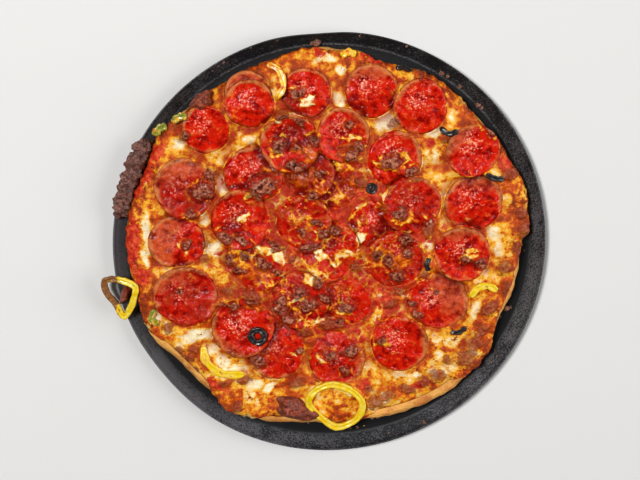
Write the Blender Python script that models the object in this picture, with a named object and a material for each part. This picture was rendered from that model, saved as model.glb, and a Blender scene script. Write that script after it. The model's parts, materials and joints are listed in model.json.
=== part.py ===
"""A thick pepperoni pizza, baked and still lying in its own round black pan.

+X is to the right and +Y to the back as the pizza is looked down on, and +Z is up. The origin is the
middle of the pan's flat underside. Sizes below are in millimetres, and angles in degrees run
anticlockwise from +X. Meshes are turned to metres when they are made into objects.
"""

import math

import bpy
import bmesh
import numpy as np
from mathutils import Vector
from mathutils.bvhtree import BVHTree

MILLIMETRE = 0.001
GAP = 0.35

# Pan: a shallow round tin of black sheet metal with a flared wall
PAN_RADIUS = 152.4
PAN_HEIGHT = 10.0
PAN_METAL = 1.2
PAN_WALL_WIDTH = 9.6
PAN_SIDES = 64
# Each dent in the rim: its middle, its half width in degrees, and how far it is pushed in
PAN_DENTS = [(94, 8, 1.5), (217, 14, 1.5)]

# Dough: how far the baked edge reaches from the middle, every 12 degrees
FOOD_SIDES = 64
EDGE_REACH = [
    136.0, 142.5, 141.5, 139.5, 138.5, 140.5, 136.5, 140.5, 143.0, 139.5,
    139.5, 140.5, 145.0, 141.5, 143.0, 143.5, 142.0, 143.0, 136.5, 136.0,
    140.5, 135.5, 131.0, 131.5, 132.5, 135.5, 138.0, 138.5, 132.5, 134.0,
]
CRUST_FOOT = PAN_METAL + GAP
CRUST_BULGE = 6.0
CRUST_CREST = 15.5
CRUST_WAIST = 8.0
CRUST_FLOOR = 9.5
CRUST_DISH_EDGE = 22.0
FOOT_ANGLE = -72.0
# Arcs where the bare crust shows: from, to, and how wide the bare band is
BARE_CRUST = [(205, 231, 6.5), (247, 273, 7.0), (281, 317, 8.5), (334, 358, 3.5)]

# Cheese: a layer over the dough that runs down its side wherever no bare crust shows
CHEESE_MIDDLE = 15.0
CHEESE_CREST = 17.4
CHEESE_DISH_EDGE = 26.0
CHEESE_SKIN = 1.5
CHEESE_DRAPE = 0.78
CHEESE_RELIEF = 1.1
CHEESE_RELIEF_CLEARANCE = (4.0, 12.0)

# Pepperoni: slices in the order they were laid, each x, y, radius
SLICE_SIDES = 14
SLICE_THICKNESS = 1.6
SLICE_LIP = 0.8
SLICES = [
    (-57.5, 111.5, 16.0), (-55.5, 104.5, 17.5), (-17.5, 112.0, 17.5), (26.5, 112.5, 19.0),
    (60.0, 102.0, 19.5), (99.0, 35.0, 21.0), (96.5, 72.0, 19.0), (76.5, -36.5, 22.0),
    (92.5, -1.0, 20.5), (49.0, -68.0, 21.5), (5.0, -79.5, 21.0), (-38.0, -73.0, 21.5),
    (-62.5, -55.0, 22.5), (-107.5, 7.5, 20.0), (-101.5, -31.0, 23.0), (-101.0, 46.0, 22.0),
    (-86.0, 86.5, 17.0), (2.5, 48.0, 17.5), (-15.0, 55.0, 17.5), (28.5, 19.5, 17.5),
    (-53.0, 55.0, 21.0), (-28.5, 77.5, 21.0), (7.5, 83.0, 19.0), (44.0, 65.5, 20.0),
    (56.0, 33.5, 21.0), (45.0, -5.5, 21.0), (11.5, -37.0, 18.0), (-21.5, -34.5, 21.0),
    (-53.0, -7.5, 21.5), (-63.0, 23.5, 21.5), (-0.5, 1.5, 21.0), (-19.5, 22.0, 19.5),
]

# Curved strips of vegetable: name, points of the middle line, width, height, kind
STRIPS = [
    ("banana_pepper_ring_front", [(-15, -113), (-12, -103), (0, -97), (14, -101), (23, -111),
                                  (20, -123), (8, -130), (-2, -127)], 5.0, 4.0, "banana_pepper"),
    ("banana_pepper_arc_left", [(-90, -69), (-88, -80), (-77, -89), (-61, -90)],
     6.0, 3.0, "banana_pepper"),
    ("banana_pepper_arc_right", [(99, -33), (103, -27), (111, -25), (118, -29)],
     5.0, 3.0, "banana_pepper"),
    ("banana_pepper_strip_back", [(-44, 131), (-36, 127), (-33, 117), (-38, 108)],
     4.5, 3.0, "banana_pepper"),
    ("banana_pepper_bit_back", [(6, 136), (10, 139), (16, 137)], 5.0, 3.0, "banana_pepper"),
    ("black_olive_right_back", [(74, 88), (79, 84), (86, 86)], 4.0, 3.0, "black_olive"),
    ("black_olive_right", [(106, 56), (112, 53), (119, 52)], 4.0, 2.6, "black_olive"),
    ("black_olive_middle_right", [(69, -4), (67, -9), (69, -14)], 3.5, 2.6, "black_olive"),
    ("black_olive_front_right", [(86, -59), (91, -60), (97, -56)], 3.5, 2.6, "black_olive"),
    ("black_olive_back", [(43, 128), (48, 129), (53, 126)], 3.5, 2.6, "black_olive"),
    ("green_pepper_left_back", [(-121, 82), (-117, 87), (-112, 89)], 5.5, 3.0, "green_pepper"),
    ("green_pepper_left_back_upper", [(-108, 92), (-103, 96), (-98, 96)], 5.0, 3.0, "green_pepper"),
    ("green_pepper_left", [(-123, -41), (-126, -47), (-121, -52)], 4.5, 2.6, "green_pepper"),
]
# The ring of banana pepper that has slid off the pizza and lies over the pan's rim
RIM_RING = [(-137, -24), (-148, -19.5), (-158, -21), (-157, -30), (-151, -38), (-146, -47),
            (-141.5, -42), (-138, -33)]
RIM_RING_WIDTH = 3.6
RIM_RING_HEIGHT = 3.4

# Olive rings lying on the slices: name, x, y, outer radius, hole radius, height
OLIVE_RINGS = [
    ("black_olive_ring_left", -51.5, -60.0, 6.8, 2.4, 3.2),
    ("black_olive_ring_middle", 28.0, 45.0, 4.0, 1.4, 2.8),
]
# Bits of meat and boiled up, burnt cheese: name, x, y, length, width, turn, height
LUMPS = [
    ("browned_meat_front", -24.0, -117.0, 33.0, 16.0, -22.0, 4.0),
    ("browned_meat_left_back", -88.0, 106.0, 16.0, 12.0, 40.0, 3.0),
]

# The crumbly ridge of burnt cheese on the pan's left wall: from, to, and its section
RIDGE_FROM = 148.0
RIDGE_TO = 171.0
RIDGE_STEPS = 22
RIDGE_INNER = 144.6
RIDGE_OUTER = 154.0
RIDGE_TOP = 15.0

COLOURS = {
    "pan_black": ((0.020, 0.021, 0.023), 0.5, 0.6),
    "crust": ((0.72, 0.36, 0.12), 0.7, 0.0),
    "cheese": ((0.86, 0.60, 0.22), 0.4, 0.0),
    "pepperoni": ((0.55, 0.035, 0.015), 0.3, 0.0),
    "banana_pepper": ((0.85, 0.62, 0.02), 0.3, 0.0),
    "green_pepper": ((0.33, 0.42, 0.06), 0.4, 0.0),
    "black_olive": ((0.012, 0.011, 0.010), 0.35, 0.0),
    "burnt_cheese": ((0.07, 0.035, 0.025), 0.6, 0.0),
    "browned_meat": ((0.24, 0.06, 0.035), 0.5, 0.0),
}


def smooth_step(value, low, high):
    """0 below low, 1 above high and an easy curve between."""
    share = np.clip((value - low) / (high - low), 0.0, 1.0)
    return share * share * (3.0 - 2.0 * share)


def around(values, angle):
    """A smooth closed curve through values spaced evenly round the circle."""
    place = (angle % 360.0) / 360.0 * len(values)
    step = int(place)
    part = place - step
    before, start, end, after = (values[(step + k) % len(values)] for k in (-1, 0, 1, 2))
    return start + 0.5 * part * (end - before + part * (
        2 * before - 5 * start + 4 * end - after + part * (3 * (start - end) + after - before)))


def turned(angle, reach, height):
    """A point by its angle, its distance from the middle and its height."""
    turn = math.radians(angle)
    return (reach * math.cos(turn), reach * math.sin(turn), height)


def stack_rings(rings, middle_first=None, middle_last=None):
    """Triangles between rings of points, with each end closed by a fan or by one flat face."""
    count = len(rings[0])
    points = [point for ring in rings for point in ring]
    faces = []
    for level in range(len(rings) - 1):
        here = level * count
        there = here + count
        for k in range(count):
            after = (k + 1) % count
            faces.append((here + k, there + k, there + after))
            faces.append((here + k, there + after, here + after))
    for middle, start in ((middle_first, 0), (middle_last, (len(rings) - 1) * count)):
        loop = [start + k for k in range(count)]
        if middle is None:
            faces.append(tuple(loop))
            continue
        points.append(middle)
        faces += [(a, b, len(points) - 1) for a, b in zip(loop, loop[1:] + loop[:1])]
    return points, faces


def add_material(name):
    """The finish of one kind of piece."""
    colour, roughness, metallic = COLOURS[name]
    material = bpy.data.materials.get(name) or bpy.data.materials.new(name)
    material.use_nodes = True
    shader = material.node_tree.nodes["Principled BSDF"]
    shader.inputs["Base Color"].default_value = (*colour, 1.0)
    shader.inputs["Roughness"].default_value = roughness
    shader.inputs["Metallic"].default_value = metallic
    material.diffuse_color = (*colour, 1.0)
    return material


def add_piece(name, points, faces, finish):
    """One closed body, in metres, with its faces pointing out."""
    mesh = bpy.data.meshes.new(name)
    mesh.from_pydata([Vector(point) * MILLIMETRE for point in points], [], faces)
    body = bmesh.new()
    body.from_mesh(mesh)
    bmesh.ops.recalc_face_normals(body, faces=body.faces)
    body.to_mesh(mesh)
    body.free()
    mesh.shade_smooth()
    mesh.set_sharp_from_angle(angle=math.radians(50))
    mesh.materials.append(add_material(finish))
    piece = bpy.data.objects.new(name, mesh)
    bpy.context.scene.collection.objects.link(piece)
    return piece


# The pan

def pan_reach(angle, reach):
    """The distance from the middle with the rim's dents pushed in."""
    up_the_wall = smooth_step(reach, PAN_RADIUS - PAN_WALL_WIDTH, PAN_RADIUS)
    for middle, half, depth in PAN_DENTS:
        away = (angle - middle + 180.0) % 360.0 - 180.0
        reach -= depth * up_the_wall * math.exp(-(away / half) ** 2)
    return reach


def pan_wall_height(reach):
    """The height of the wall's inner face at a distance from the middle."""
    fold = PAN_RADIUS - PAN_WALL_WIDTH
    return PAN_METAL + (PAN_HEIGHT - PAN_METAL) * (reach - fold) / PAN_WALL_WIDTH


def add_pan():
    """Flat floor, small fold, flared wall and a rounded lip, turned as one sheet."""
    fold = PAN_RADIUS - PAN_WALL_WIDTH
    profile = [
        (fold - 1.0, PAN_METAL),
        (fold + 0.9, PAN_METAL + 0.6),
        (PAN_RADIUS - 1.5, PAN_HEIGHT - 0.8),
        (PAN_RADIUS - 0.8, PAN_HEIGHT),
        (PAN_RADIUS, PAN_HEIGHT - 0.3),
        (PAN_RADIUS - 0.1, PAN_HEIGHT - 1.2),
        (fold + 1.9, 0.7),
        (fold + 0.4, 0.0),
    ]
    angles = [360.0 * k / PAN_SIDES for k in range(PAN_SIDES)]
    rings = [[turned(a, pan_reach(a, reach), height) for a in angles] for reach, height in profile]
    return add_piece("pan", *stack_rings(rings), "pan_black")


# The dough and the cheese share one skin, which runs from the middle over the crest to the foot

def bare_width(angle):
    """How wide the band of bare crust is at an angle, and how bare it is from 0 to 1."""
    width = 0.0
    bare = 0.0
    for start, end, most in BARE_CRUST:
        inside = min(angle - start, end - angle)
        share = float(smooth_step(inside, -4.0, 5.0))
        if share > bare:
            bare = share
            width = most
    return width, bare


def skin(angle, place):
    """Distance and height of the dough's skin; place is 0.5 on the crest and 1 at the foot."""
    bare = bare_width(angle)[1]
    reach = around(EDGE_REACH, angle) - CHEESE_SKIN * (1.0 - bare)
    crest = reach - CRUST_BULGE
    if place <= 0.5:
        distance = crest * place / 0.5
        rise = float(smooth_step(distance, crest - CRUST_DISH_EDGE, crest))
        return distance, CRUST_FLOOR + (CRUST_CREST - CRUST_FLOOR) * rise
    turn = math.radians(90.0 + (FOOT_ANGLE - 90.0) * (place - 0.5) / 0.5)
    tall = CRUST_CREST - CRUST_WAIST
    if turn < 0.0:
        tall = (CRUST_WAIST - CRUST_FOOT) / -math.sin(math.radians(FOOT_ANGLE))
    return crest + CRUST_BULGE * math.cos(turn), CRUST_WAIST + tall * math.sin(turn)


def lifted_skin(angle, place, lift):
    """A point that stands off the skin by lift, at a right angle to it."""
    small = 0.004
    near, low = skin(angle, place - small)
    far, high = skin(angle, place + small)
    along = math.hypot(far - near, high - low)
    distance, height = skin(angle, place)
    return distance - lift * (high - low) / along, height + lift * (far - near) / along


def cheese_end(angle):
    """The place on the skin where the cheese stops."""
    width, bare = bare_width(angle)
    if bare == 0.0:
        return CHEESE_DRAPE + 0.05 * math.sin(math.radians(angle * 7.0))
    reach = around(EDGE_REACH, angle)
    if width >= CRUST_BULGE:
        stop = 0.5 * (reach - width) / (reach - CRUST_BULGE)
    else:
        upright = math.degrees(math.acos(1.0 - width / CRUST_BULGE))
        stop = 0.5 + 0.5 * (90.0 - upright) / (90.0 - FOOT_ANGLE)
    return CHEESE_DRAPE + (stop - CHEESE_DRAPE) * bare


SKIN_STEPS = [0.2, 0.42, 0.53, 0.58, 0.63, 0.70, 0.80, 0.90, 1.0]
FOOT_STEPS = [0.3, 0.55, 0.8, 1.0]
TOP_STEPS = [0.97, 0.92, 0.86, 0.79, 0.72, 0.66, 0.60, 0.53, 0.43, 0.30, 0.15]


def food_angles():
    return [360.0 * k / FOOD_SIDES for k in range(FOOD_SIDES)]


def add_crust():
    """The dough: a dished disc with a bulging baked edge."""
    angles = food_angles()
    ends = [cheese_end(a) for a in angles]
    rings = []
    for step in SKIN_STEPS:
        rings.append([turned(a, *skin(a, step * end)) for a, end in zip(angles, ends)])
    for step in FOOT_STEPS:
        rings.append([turned(a, *skin(a, end + (1.0 - end) * step)) for a, end in zip(angles, ends)])
    return add_piece("crust", *stack_rings(rings, (0.0, 0.0, CRUST_FLOOR)), "crust")


def topping_discs():
    """The discs, each x, y and radius, that the toppings cover."""
    discs = list(SLICES)
    discs += [(x, y, radius) for _, x, y, radius, _, _ in OLIVE_RINGS]
    discs += [(x, y, length / 2) for _, x, y, length, _, _, _ in LUMPS]
    discs += [(x, y, width / 2) for _, points, width, _, _ in STRIPS for x, y in points]
    return discs


def cheese_top(angle, place, end, discs):
    """A point on the top of the cheese, with bumps where no topping is near."""
    distance, height = skin(angle, place)
    crest = skin(angle, 0.5)[0]
    rise = float(smooth_step(distance, crest - CHEESE_DISH_EDGE, crest))
    level = CHEESE_MIDDLE + (CHEESE_CREST - CHEESE_MIDDLE) * rise
    thick = level - height if place <= 0.5 else CHEESE_CREST - CRUST_CREST
    near_end = float(smooth_step(end - place, 0.0, 0.09))
    thick = CHEESE_SKIN + (thick - CHEESE_SKIN) * near_end
    if place > 0.5:
        distance, height = lifted_skin(angle, place, thick)
    else:
        height += thick
    x, y, z = turned(angle, distance, height)
    room = min(math.hypot(x - disc_x, y - disc_y) - radius for disc_x, disc_y, radius in discs)
    room = float(smooth_step(room, *CHEESE_RELIEF_CLEARANCE))
    bumps = math.sin(x * 0.31 + 1.7) * math.sin(y * 0.27 + 0.4) + 0.6 * math.sin(x * 0.19 - y * 0.23)
    return x, y, z + CHEESE_RELIEF * room * bumps


def add_cheese():
    """The cheese: its underside follows the dough's skin at a small gap."""
    angles = food_angles()
    ends = [cheese_end(a) for a in angles]
    discs = topping_discs()
    rings = []
    for step in SKIN_STEPS:
        rings.append([turned(a, *lifted_skin(a, step * end, GAP)) for a, end in zip(angles, ends)])
    edge_lift = GAP + CHEESE_SKIN * 0.45
    rings.append([turned(a, *lifted_skin(a, end + 0.012, edge_lift)) for a, end in zip(angles, ends)])
    for step in TOP_STEPS:
        rings.append([cheese_top(a, step * end, end, discs) for a, end in zip(angles, ends)])
    middle_below = (0.0, 0.0, CRUST_FLOOR + GAP)
    middle_above = (0.0, 0.0, CHEESE_MIDDLE)
    return add_piece("cheese", *stack_rings(rings, middle_below, middle_above), "cheese")


# Toppings settle on what is already there

class Pile:
    """What lies in the pan so far, as surfaces that can be felt from above."""

    def __init__(self):
        self.layers = []

    def add(self, points, faces):
        """Lay one more piece, given in millimetres, on the pile."""
        spots = np.array(points)
        low = spots[:, :2].min(axis=0)
        high = spots[:, :2].max(axis=0)
        self.layers.append((low, high, BVHTree.FromPolygons([Vector(p) for p in points], faces)))

    def add_object(self, piece):
        points = [vertex.co / MILLIMETRE for vertex in piece.data.vertices]
        self.add([tuple(p) for p in points], [tuple(face.vertices) for face in piece.data.polygons])

    def height(self, x, y):
        """The highest surface under a point, or None beside the pan."""
        best = None
        for low, high, tree in self.layers:
            if low[0] <= x <= high[0] and low[1] <= y <= high[1]:
                hit = tree.ray_cast(Vector((x, y, 100.0)), Vector((0.0, 0.0, -1.0)))[0]
                if hit is not None and (best is None or hit.z > best):
                    best = hit.z
        return best


FEELER_PITCH = 1.3
REST_GAP = 0.45
TILT_LIMIT = 0.24
TILT_STEPS = 13
SAG_REACH = 9.5


def settle(felt):
    """The plane, as height at the middle and two slopes, on which a flat piece comes to rest.

    Of all planes that clear what is felt under the piece, it is the one whose middle is lowest.
    """
    best = (math.inf, 0.0, 0.0)
    reach = TILT_LIMIT
    centre = (0.0, 0.0)
    for _ in range(3):
        for slope_x in np.linspace(centre[0] - reach, centre[0] + reach, TILT_STEPS):
            for slope_y in np.linspace(centre[1] - reach, centre[1] + reach, TILT_STEPS):
                if math.hypot(slope_x, slope_y) <= TILT_LIMIT:
                    height = float(np.max(felt[:, 2] - slope_x * felt[:, 0] - slope_y * felt[:, 1]))
                    if height < best[0] - 1e-6:
                        best = (height, float(slope_x), float(slope_y))
        centre = best[1:]
        reach /= 5.0
    return best


def lay_down(pile, name, points, faces, finish, spots, limp=False):
    """Rest a piece that was shaped on a flat table onto the pile, and add it there.

    A limp piece also sags wherever nothing within the reach of its faces holds it up.
    """
    middle = np.mean(np.array(spots), axis=0)
    felt = [(x - middle[0], y - middle[1], pile.height(x, y)) for x, y in spots]
    felt = np.array([row for row in felt if row[2] is not None])
    height, slope_x, slope_y = settle(felt)
    free = height + slope_x * felt[:, 0] + slope_y * felt[:, 1] - felt[:, 2]
    placed = []
    for x, y, z in points:
        across, along = x - middle[0], y - middle[1]
        ground = height + slope_x * across + slope_y * along
        if limp:
            near = np.hypot(felt[:, 0] - across, felt[:, 1] - along) < SAG_REACH
            ground -= float(free[near].min())
        placed.append((x, y, ground + REST_GAP + z))
    pile.add(placed, faces)
    return add_piece(name, placed, faces, finish)


def spots_in_oval(x, y, half_length, half_width, turn=0.0):
    """A square net of points over an oval, with a row round its edge."""
    steps = np.arange(-half_length, half_length + FEELER_PITCH, FEELER_PITCH)
    flat = [(a, b) for a in steps for b in steps if math.hypot(a / half_length, b / half_width) < 1.0]
    flat += [(half_length * math.cos(t), half_width * math.sin(t)) for t in np.linspace(0, 6.2, 60)]
    along = (math.cos(turn), math.sin(turn))
    return [(x + a * along[0] - b * along[1], y + a * along[1] + b * along[0]) for a, b in flat]


def slice_points(x, y, radius, number):
    """A round slice that has cupped a little in the oven: thin, with its edge lifted."""
    profile = [
        (0.43, SLICE_THICKNESS),
        (0.80, SLICE_THICKNESS + 0.1 * SLICE_LIP),
        (0.97, SLICE_THICKNESS + SLICE_LIP),
        (1.0, 0.5 * SLICE_THICKNESS),
        (0.80, 0.0),
        (0.43, 0.0),
    ]
    rings = []
    for share, height in profile:
        ring = []
        for k in range(SLICE_SIDES):
            turn = 2.0 * math.pi * k / SLICE_SIDES
            wobble = 1.0 + 0.025 * math.sin(2.0 * turn + number) + 0.015 * math.sin(3.0 * turn + 2 * number)
            reach = radius * share * wobble
            ring.append((x + reach * math.cos(turn), y + reach * math.sin(turn), height))
        rings.append(ring)
    return stack_rings(rings, (x, y, SLICE_THICKNESS), (x, y, 0.0))


def add_slices(pile):
    for number, (x, y, radius) in enumerate(SLICES, start=1):
        points, faces = slice_points(x, y, radius, number)
        spots = spots_in_oval(x, y, radius * 1.05, radius * 1.05)
        lay_down(pile, f"pepperoni_{number:02d}", points, faces, "pepperoni", spots, limp=True)


def smooth_line(points, closed, between=2):
    """More points on an easy curve through the given ones."""
    count = len(points)
    spans = count if closed else count - 1
    line = []
    for k in range(spans):
        picks = [points[(k + j) % count] if closed else points[min(max(k + j, 0), count - 1)]
                 for j in (-1, 0, 1, 2)]
        for part in np.arange(between) / between:
            line.append(tuple(
                start + 0.5 * part * (end - before + part * (
                    2 * before - 5 * start + 4 * end - after + part * (3 * (start - end) + after - before)))
                for before, start, end, after in zip(*picks)))
    if not closed:
        line.append(tuple(points[-1]))
    return np.array(line)


def band(line, width, height, closed):
    """A band with a rounded six-sided section along a line drawn on a flat table."""
    section = [(-0.5, 0.35), (-0.36, 0.9), (0.3, 1.0), (0.5, 0.45), (0.34, 0.0), (-0.36, 0.0)]
    count = len(line)
    sections = []
    for k in range(count):
        before = line[(k - 1) % count] if closed else line[max(k - 1, 0)]
        after = line[(k + 1) % count] if closed else line[min(k + 1, count - 1)]
        along = (after - before) / np.linalg.norm(after - before)
        side = np.array((-along[1], along[0]))
        tip = 0.7 if not closed and k in (0, count - 1) else 1.0
        sections.append([(*(line[k] + side * width * tip * across), height * tip * up)
                         for across, up in section])
    if not closed:
        return stack_rings(sections)
    points, faces = stack_rings(sections)
    faces = [face for face in faces if len(face) == 3]
    last = (count - 1) * len(section)
    for k in range(len(section)):
        after = (k + 1) % len(section)
        faces.append((last + k, k, after))
        faces.append((last + k, after, last + after))
    return points, faces


def spots_along(line, width):
    """A net of points that covers a band."""
    spots = []
    for start, end in zip(line[:-1], line[1:]):
        side = np.array((start[1] - end[1], end[0] - start[0])) / np.linalg.norm(end - start)
        for part in (0.0, 0.33, 0.67, 1.0):
            middle = start + (end - start) * part
            spots += [tuple(middle + side * width * across) for across in (-0.6, -0.3, 0.0, 0.3, 0.6)]
    return spots


def add_strips(pile):
    """Bits of pepper and olive, each a curved strip."""
    for name, points, width, height, finish in STRIPS:
        line = smooth_line(points, closed=False)
        body, faces = band(line, width, height, closed=False)
        lay_down(pile, name, body, faces, finish, spots_along(line, width))


def add_rim_ring(pile):
    """The loop of banana pepper that leans from the pizza's edge over the pan's rim."""
    line = smooth_line(RIM_RING, closed=True)
    body, faces = band(line, RIM_RING_WIDTH, RIM_RING_HEIGHT, closed=True)
    round_line = np.vstack([line, line[:1]])
    lay_down(pile, "banana_pepper_ring_over_rim", body, faces, "banana_pepper",
             spots_along(round_line, RIM_RING_WIDTH))


def add_olive_rings(pile):
    """Whole olive slices, each a small ring with its stone hole."""
    for name, x, y, radius, hole, height in OLIVE_RINGS:
        turns = np.arange(10) * 2.0 * math.pi / 10
        reach = (radius + hole) / 2.0
        line = np.array([(x + reach * math.cos(t), y + reach * math.sin(t)) for t in turns])
        body, faces = band(line, radius - hole, height, closed=True)
        spots = spots_in_oval(x, y, radius * 1.05, radius * 1.05)
        lay_down(pile, name, body, faces, "black_olive", spots)


def add_lumps(pile):
    """Knobbly bits of meat under browned cheese."""
    for name, x, y, length, width, turn, height in LUMPS:
        lean = math.radians(turn)
        rings = []
        for share, rise in ((0.4, 0.95), (0.75, 0.7), (1.0, 0.22), (0.93, 0.0)):
            ring = []
            for k in range(16):
                angle = 2.0 * math.pi * k / 16
                knob = 1.0 + 0.12 * math.sin(3.0 * angle + x) + 0.08 * math.sin(5.0 * angle)
                along = 0.5 * length * share * knob * math.cos(angle)
                across = 0.5 * width * share * knob * math.sin(angle)
                up = height * rise * (1.0 + 0.18 * math.sin(4.0 * angle + share * 9.0))
                ring.append((x + along * math.cos(lean) - across * math.sin(lean),
                             y + along * math.sin(lean) + across * math.cos(lean), up))
            rings.append(ring)
        points, faces = stack_rings(rings, (x, y, height * 0.9))
        spots = spots_in_oval(x, y, 0.6 * length, 0.6 * width, lean)
        lay_down(pile, name, points, faces, "browned_meat", spots)


def add_ridge():
    """The burnt ridge: its underside follows the pan's wall and hangs a little over the lip."""
    wall_top = PAN_RADIUS - 1.0
    slope = (PAN_HEIGHT - PAN_METAL) / PAN_WALL_WIDTH
    lift = 2.0 * GAP * math.sqrt(1.0 + slope * slope)
    rings = []
    for step in range(RIDGE_STEPS + 1):
        angle = RIDGE_FROM + (RIDGE_TO - RIDGE_FROM) * step / RIDGE_STEPS
        lump = 0.5 + 0.5 * math.sin(step * 1.9) * math.cos(step * 0.7 + 0.5)
        full = 1.0 - 0.45 * abs(2.0 * step / RIDGE_STEPS - 1.0) ** 4
        inner = RIDGE_INNER + 1.2 * (1.0 - full) + 0.7 * lump
        outer = RIDGE_OUTER + 1.6 * lump * full
        top = PAN_HEIGHT + (RIDGE_TOP - PAN_HEIGHT + 1.6 * lump) * full
        section = [
            (inner, pan_wall_height(inner) + lift),
            (wall_top, PAN_HEIGHT + 2.0 * GAP),
            (outer, PAN_HEIGHT + 2.0 * GAP),
            (outer + 0.6, PAN_HEIGHT + 2.2),
            (outer - 2.0, top - 0.8),
            (0.5 * (inner + outer) + 0.5 * lump, top),
            (inner + 1.2, top - 2.4 + lump),
            (inner - 0.3, pan_wall_height(inner) + lift + 2.4),
        ]
        rings.append([turned(angle, reach, height) for reach, height in section])
    return add_piece("burnt_cheese_ridge", *stack_rings(rings), "burnt_cheese")


def main():
    for item in list(bpy.data.objects):
        bpy.data.objects.remove(item, do_unlink=True)
    pile = Pile()
    for base in (add_pan(), add_crust(), add_cheese(), add_ridge()):
        pile.add_object(base)
    add_slices(pile)
    add_strips(pile)
    add_rim_ring(pile)
    add_olive_rings(pile)
    add_lumps(pile)


main()
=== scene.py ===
"""Dresses a baked pepperoni pizza and its black pan, and sets them on a pale studio floor.

+X is to the right and +Y to the back as the pizza is looked down on, and +Z is up. Places and sizes in
the tables are in millimetres, and angles in degrees run anticlockwise from +X. Properties are in metres.
"""

import json
import math
from functools import cache

import bpy
import numpy as np
from bpy.props import FloatProperty, FloatVectorProperty, IntProperty, PointerProperty
from mathutils import Matrix, Vector, noise
from mathutils.bvhtree import BVHTree

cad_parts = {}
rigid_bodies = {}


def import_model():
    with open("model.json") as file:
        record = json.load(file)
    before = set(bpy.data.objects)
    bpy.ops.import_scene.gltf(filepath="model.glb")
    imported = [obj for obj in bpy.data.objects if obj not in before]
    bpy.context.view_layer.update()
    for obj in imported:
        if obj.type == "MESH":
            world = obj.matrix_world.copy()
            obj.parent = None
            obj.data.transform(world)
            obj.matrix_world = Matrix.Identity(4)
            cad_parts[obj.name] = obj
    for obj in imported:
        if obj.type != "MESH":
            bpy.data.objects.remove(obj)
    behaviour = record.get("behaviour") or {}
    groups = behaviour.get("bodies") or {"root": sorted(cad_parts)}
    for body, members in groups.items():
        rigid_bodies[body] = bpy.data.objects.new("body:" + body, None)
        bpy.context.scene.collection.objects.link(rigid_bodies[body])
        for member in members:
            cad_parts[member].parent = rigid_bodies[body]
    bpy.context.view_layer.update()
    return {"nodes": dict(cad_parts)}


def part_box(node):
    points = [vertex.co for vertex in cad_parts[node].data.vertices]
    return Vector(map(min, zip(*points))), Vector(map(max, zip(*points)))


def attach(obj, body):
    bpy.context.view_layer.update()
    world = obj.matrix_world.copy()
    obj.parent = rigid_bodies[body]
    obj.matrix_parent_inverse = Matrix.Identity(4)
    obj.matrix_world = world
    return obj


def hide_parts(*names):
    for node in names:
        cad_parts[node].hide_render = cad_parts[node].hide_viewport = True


bl_info = {
    "name": "Pepperoni Pizza in its Pan",
    "version": (1, 0, 0),
    "blender": (4, 5, 0),
    "location": "View3D > Sidebar > Pizza",
    "description": "Builds a baked pepperoni pizza, its black pan and a plain studio",
    "category": "Add Mesh",
}

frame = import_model()

MM = 0.001
BODY = "root"

# Pan
PAN_RADIUS = 152.4
PAN_HEIGHT = 10.0
PAN_METAL = 1.2
PAN_WALL_WIDTH = 9.6
PAN_FOLD = PAN_RADIUS - PAN_WALL_WIDTH
PAN_SLOPE = (PAN_HEIGHT - PAN_METAL) / PAN_WALL_WIDTH
# Dents in the rim: angle, half width in degrees, depth
PAN_DENTS = [(94, 8, 1.5), (217, 14, 1.5)]

# Dough and cheese: the outline every 12 degrees, the bare stretches of crust as two angles and a
# width, and the shape of the edge
EDGE_REACH = np.array([
    136.0, 142.5, 141.5, 139.5, 138.5, 140.5, 136.5, 140.5, 143.0, 139.5,
    139.5, 140.5, 145.0, 141.5, 143.0, 143.5, 142.0, 143.0, 136.5, 136.0,
    140.5, 135.5, 131.0, 131.5, 132.5, 135.5, 138.0, 138.5, 132.5, 134.0,
])
BARE_CRUST = [(205, 231, 6.5), (247, 273, 7.0), (281, 317, 8.5), (334, 358, 3.5)]
CRUST_FOOT = 1.55
CRUST_BULGE = 6.0
CRUST_CREST = 15.5
CRUST_WAIST = 8.0
CRUST_FLOOR = 9.5
CRUST_DISH_EDGE = 22.0
FOOT_ANGLE = -72.0
CHEESE_MIDDLE = 15.0
CHEESE_CREST = 17.4
CHEESE_DISH_EDGE = 26.0
CHEESE_SKIN = 1.5
CHEESE_DRAPE = 0.78
CHEESE_LIP = 0.9
CHEESE_LIP_LENGTH = 1.2
SIDE_SHARE_PER_MM = 0.0284

# Each slice's look, in stacking order: the side that is baked dry, how much of it, how dull it is
SLICE_LOOKS = [
    (90, 1.6, 0.2), (95, 0.22, 0), (90, 0.12, 0.1), (95, 0.62, 0.1), (150, 0.16, 0), (85, 0.62, 0.1),
    (140, 0.62, 0), (40, 1.15, 0.1), (95, 0.5, 0.2), (10, 0.34, 0), (-15, 0.4, 0.3), (215, 0.34, 0.3),
    (235, 0.48, 0.1), (165, 1.15, 0.1), (130, 0.5, 0.6), (105, 0.7, 0.7), (190, 0.1, 0), (60, 0.2, 0.6),
    (230, 0.2, 0.6), (80, 0.16, 0.2), (45, 0.14, 0.2), (160, 0.18, 0.2), (45, 0.4, 0.2), (15, 0.12, 0.2),
    (80, 0.16, 0.5), (100, 0.12, 0.5), (60, 0.14, 0.2), (90, 0.1, 0.5), (200, 0.1, 0.4), (90, 0.12, 0.2),
    (60, 0.12, 0.3), (45, 0.14, 0.4),
]

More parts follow.
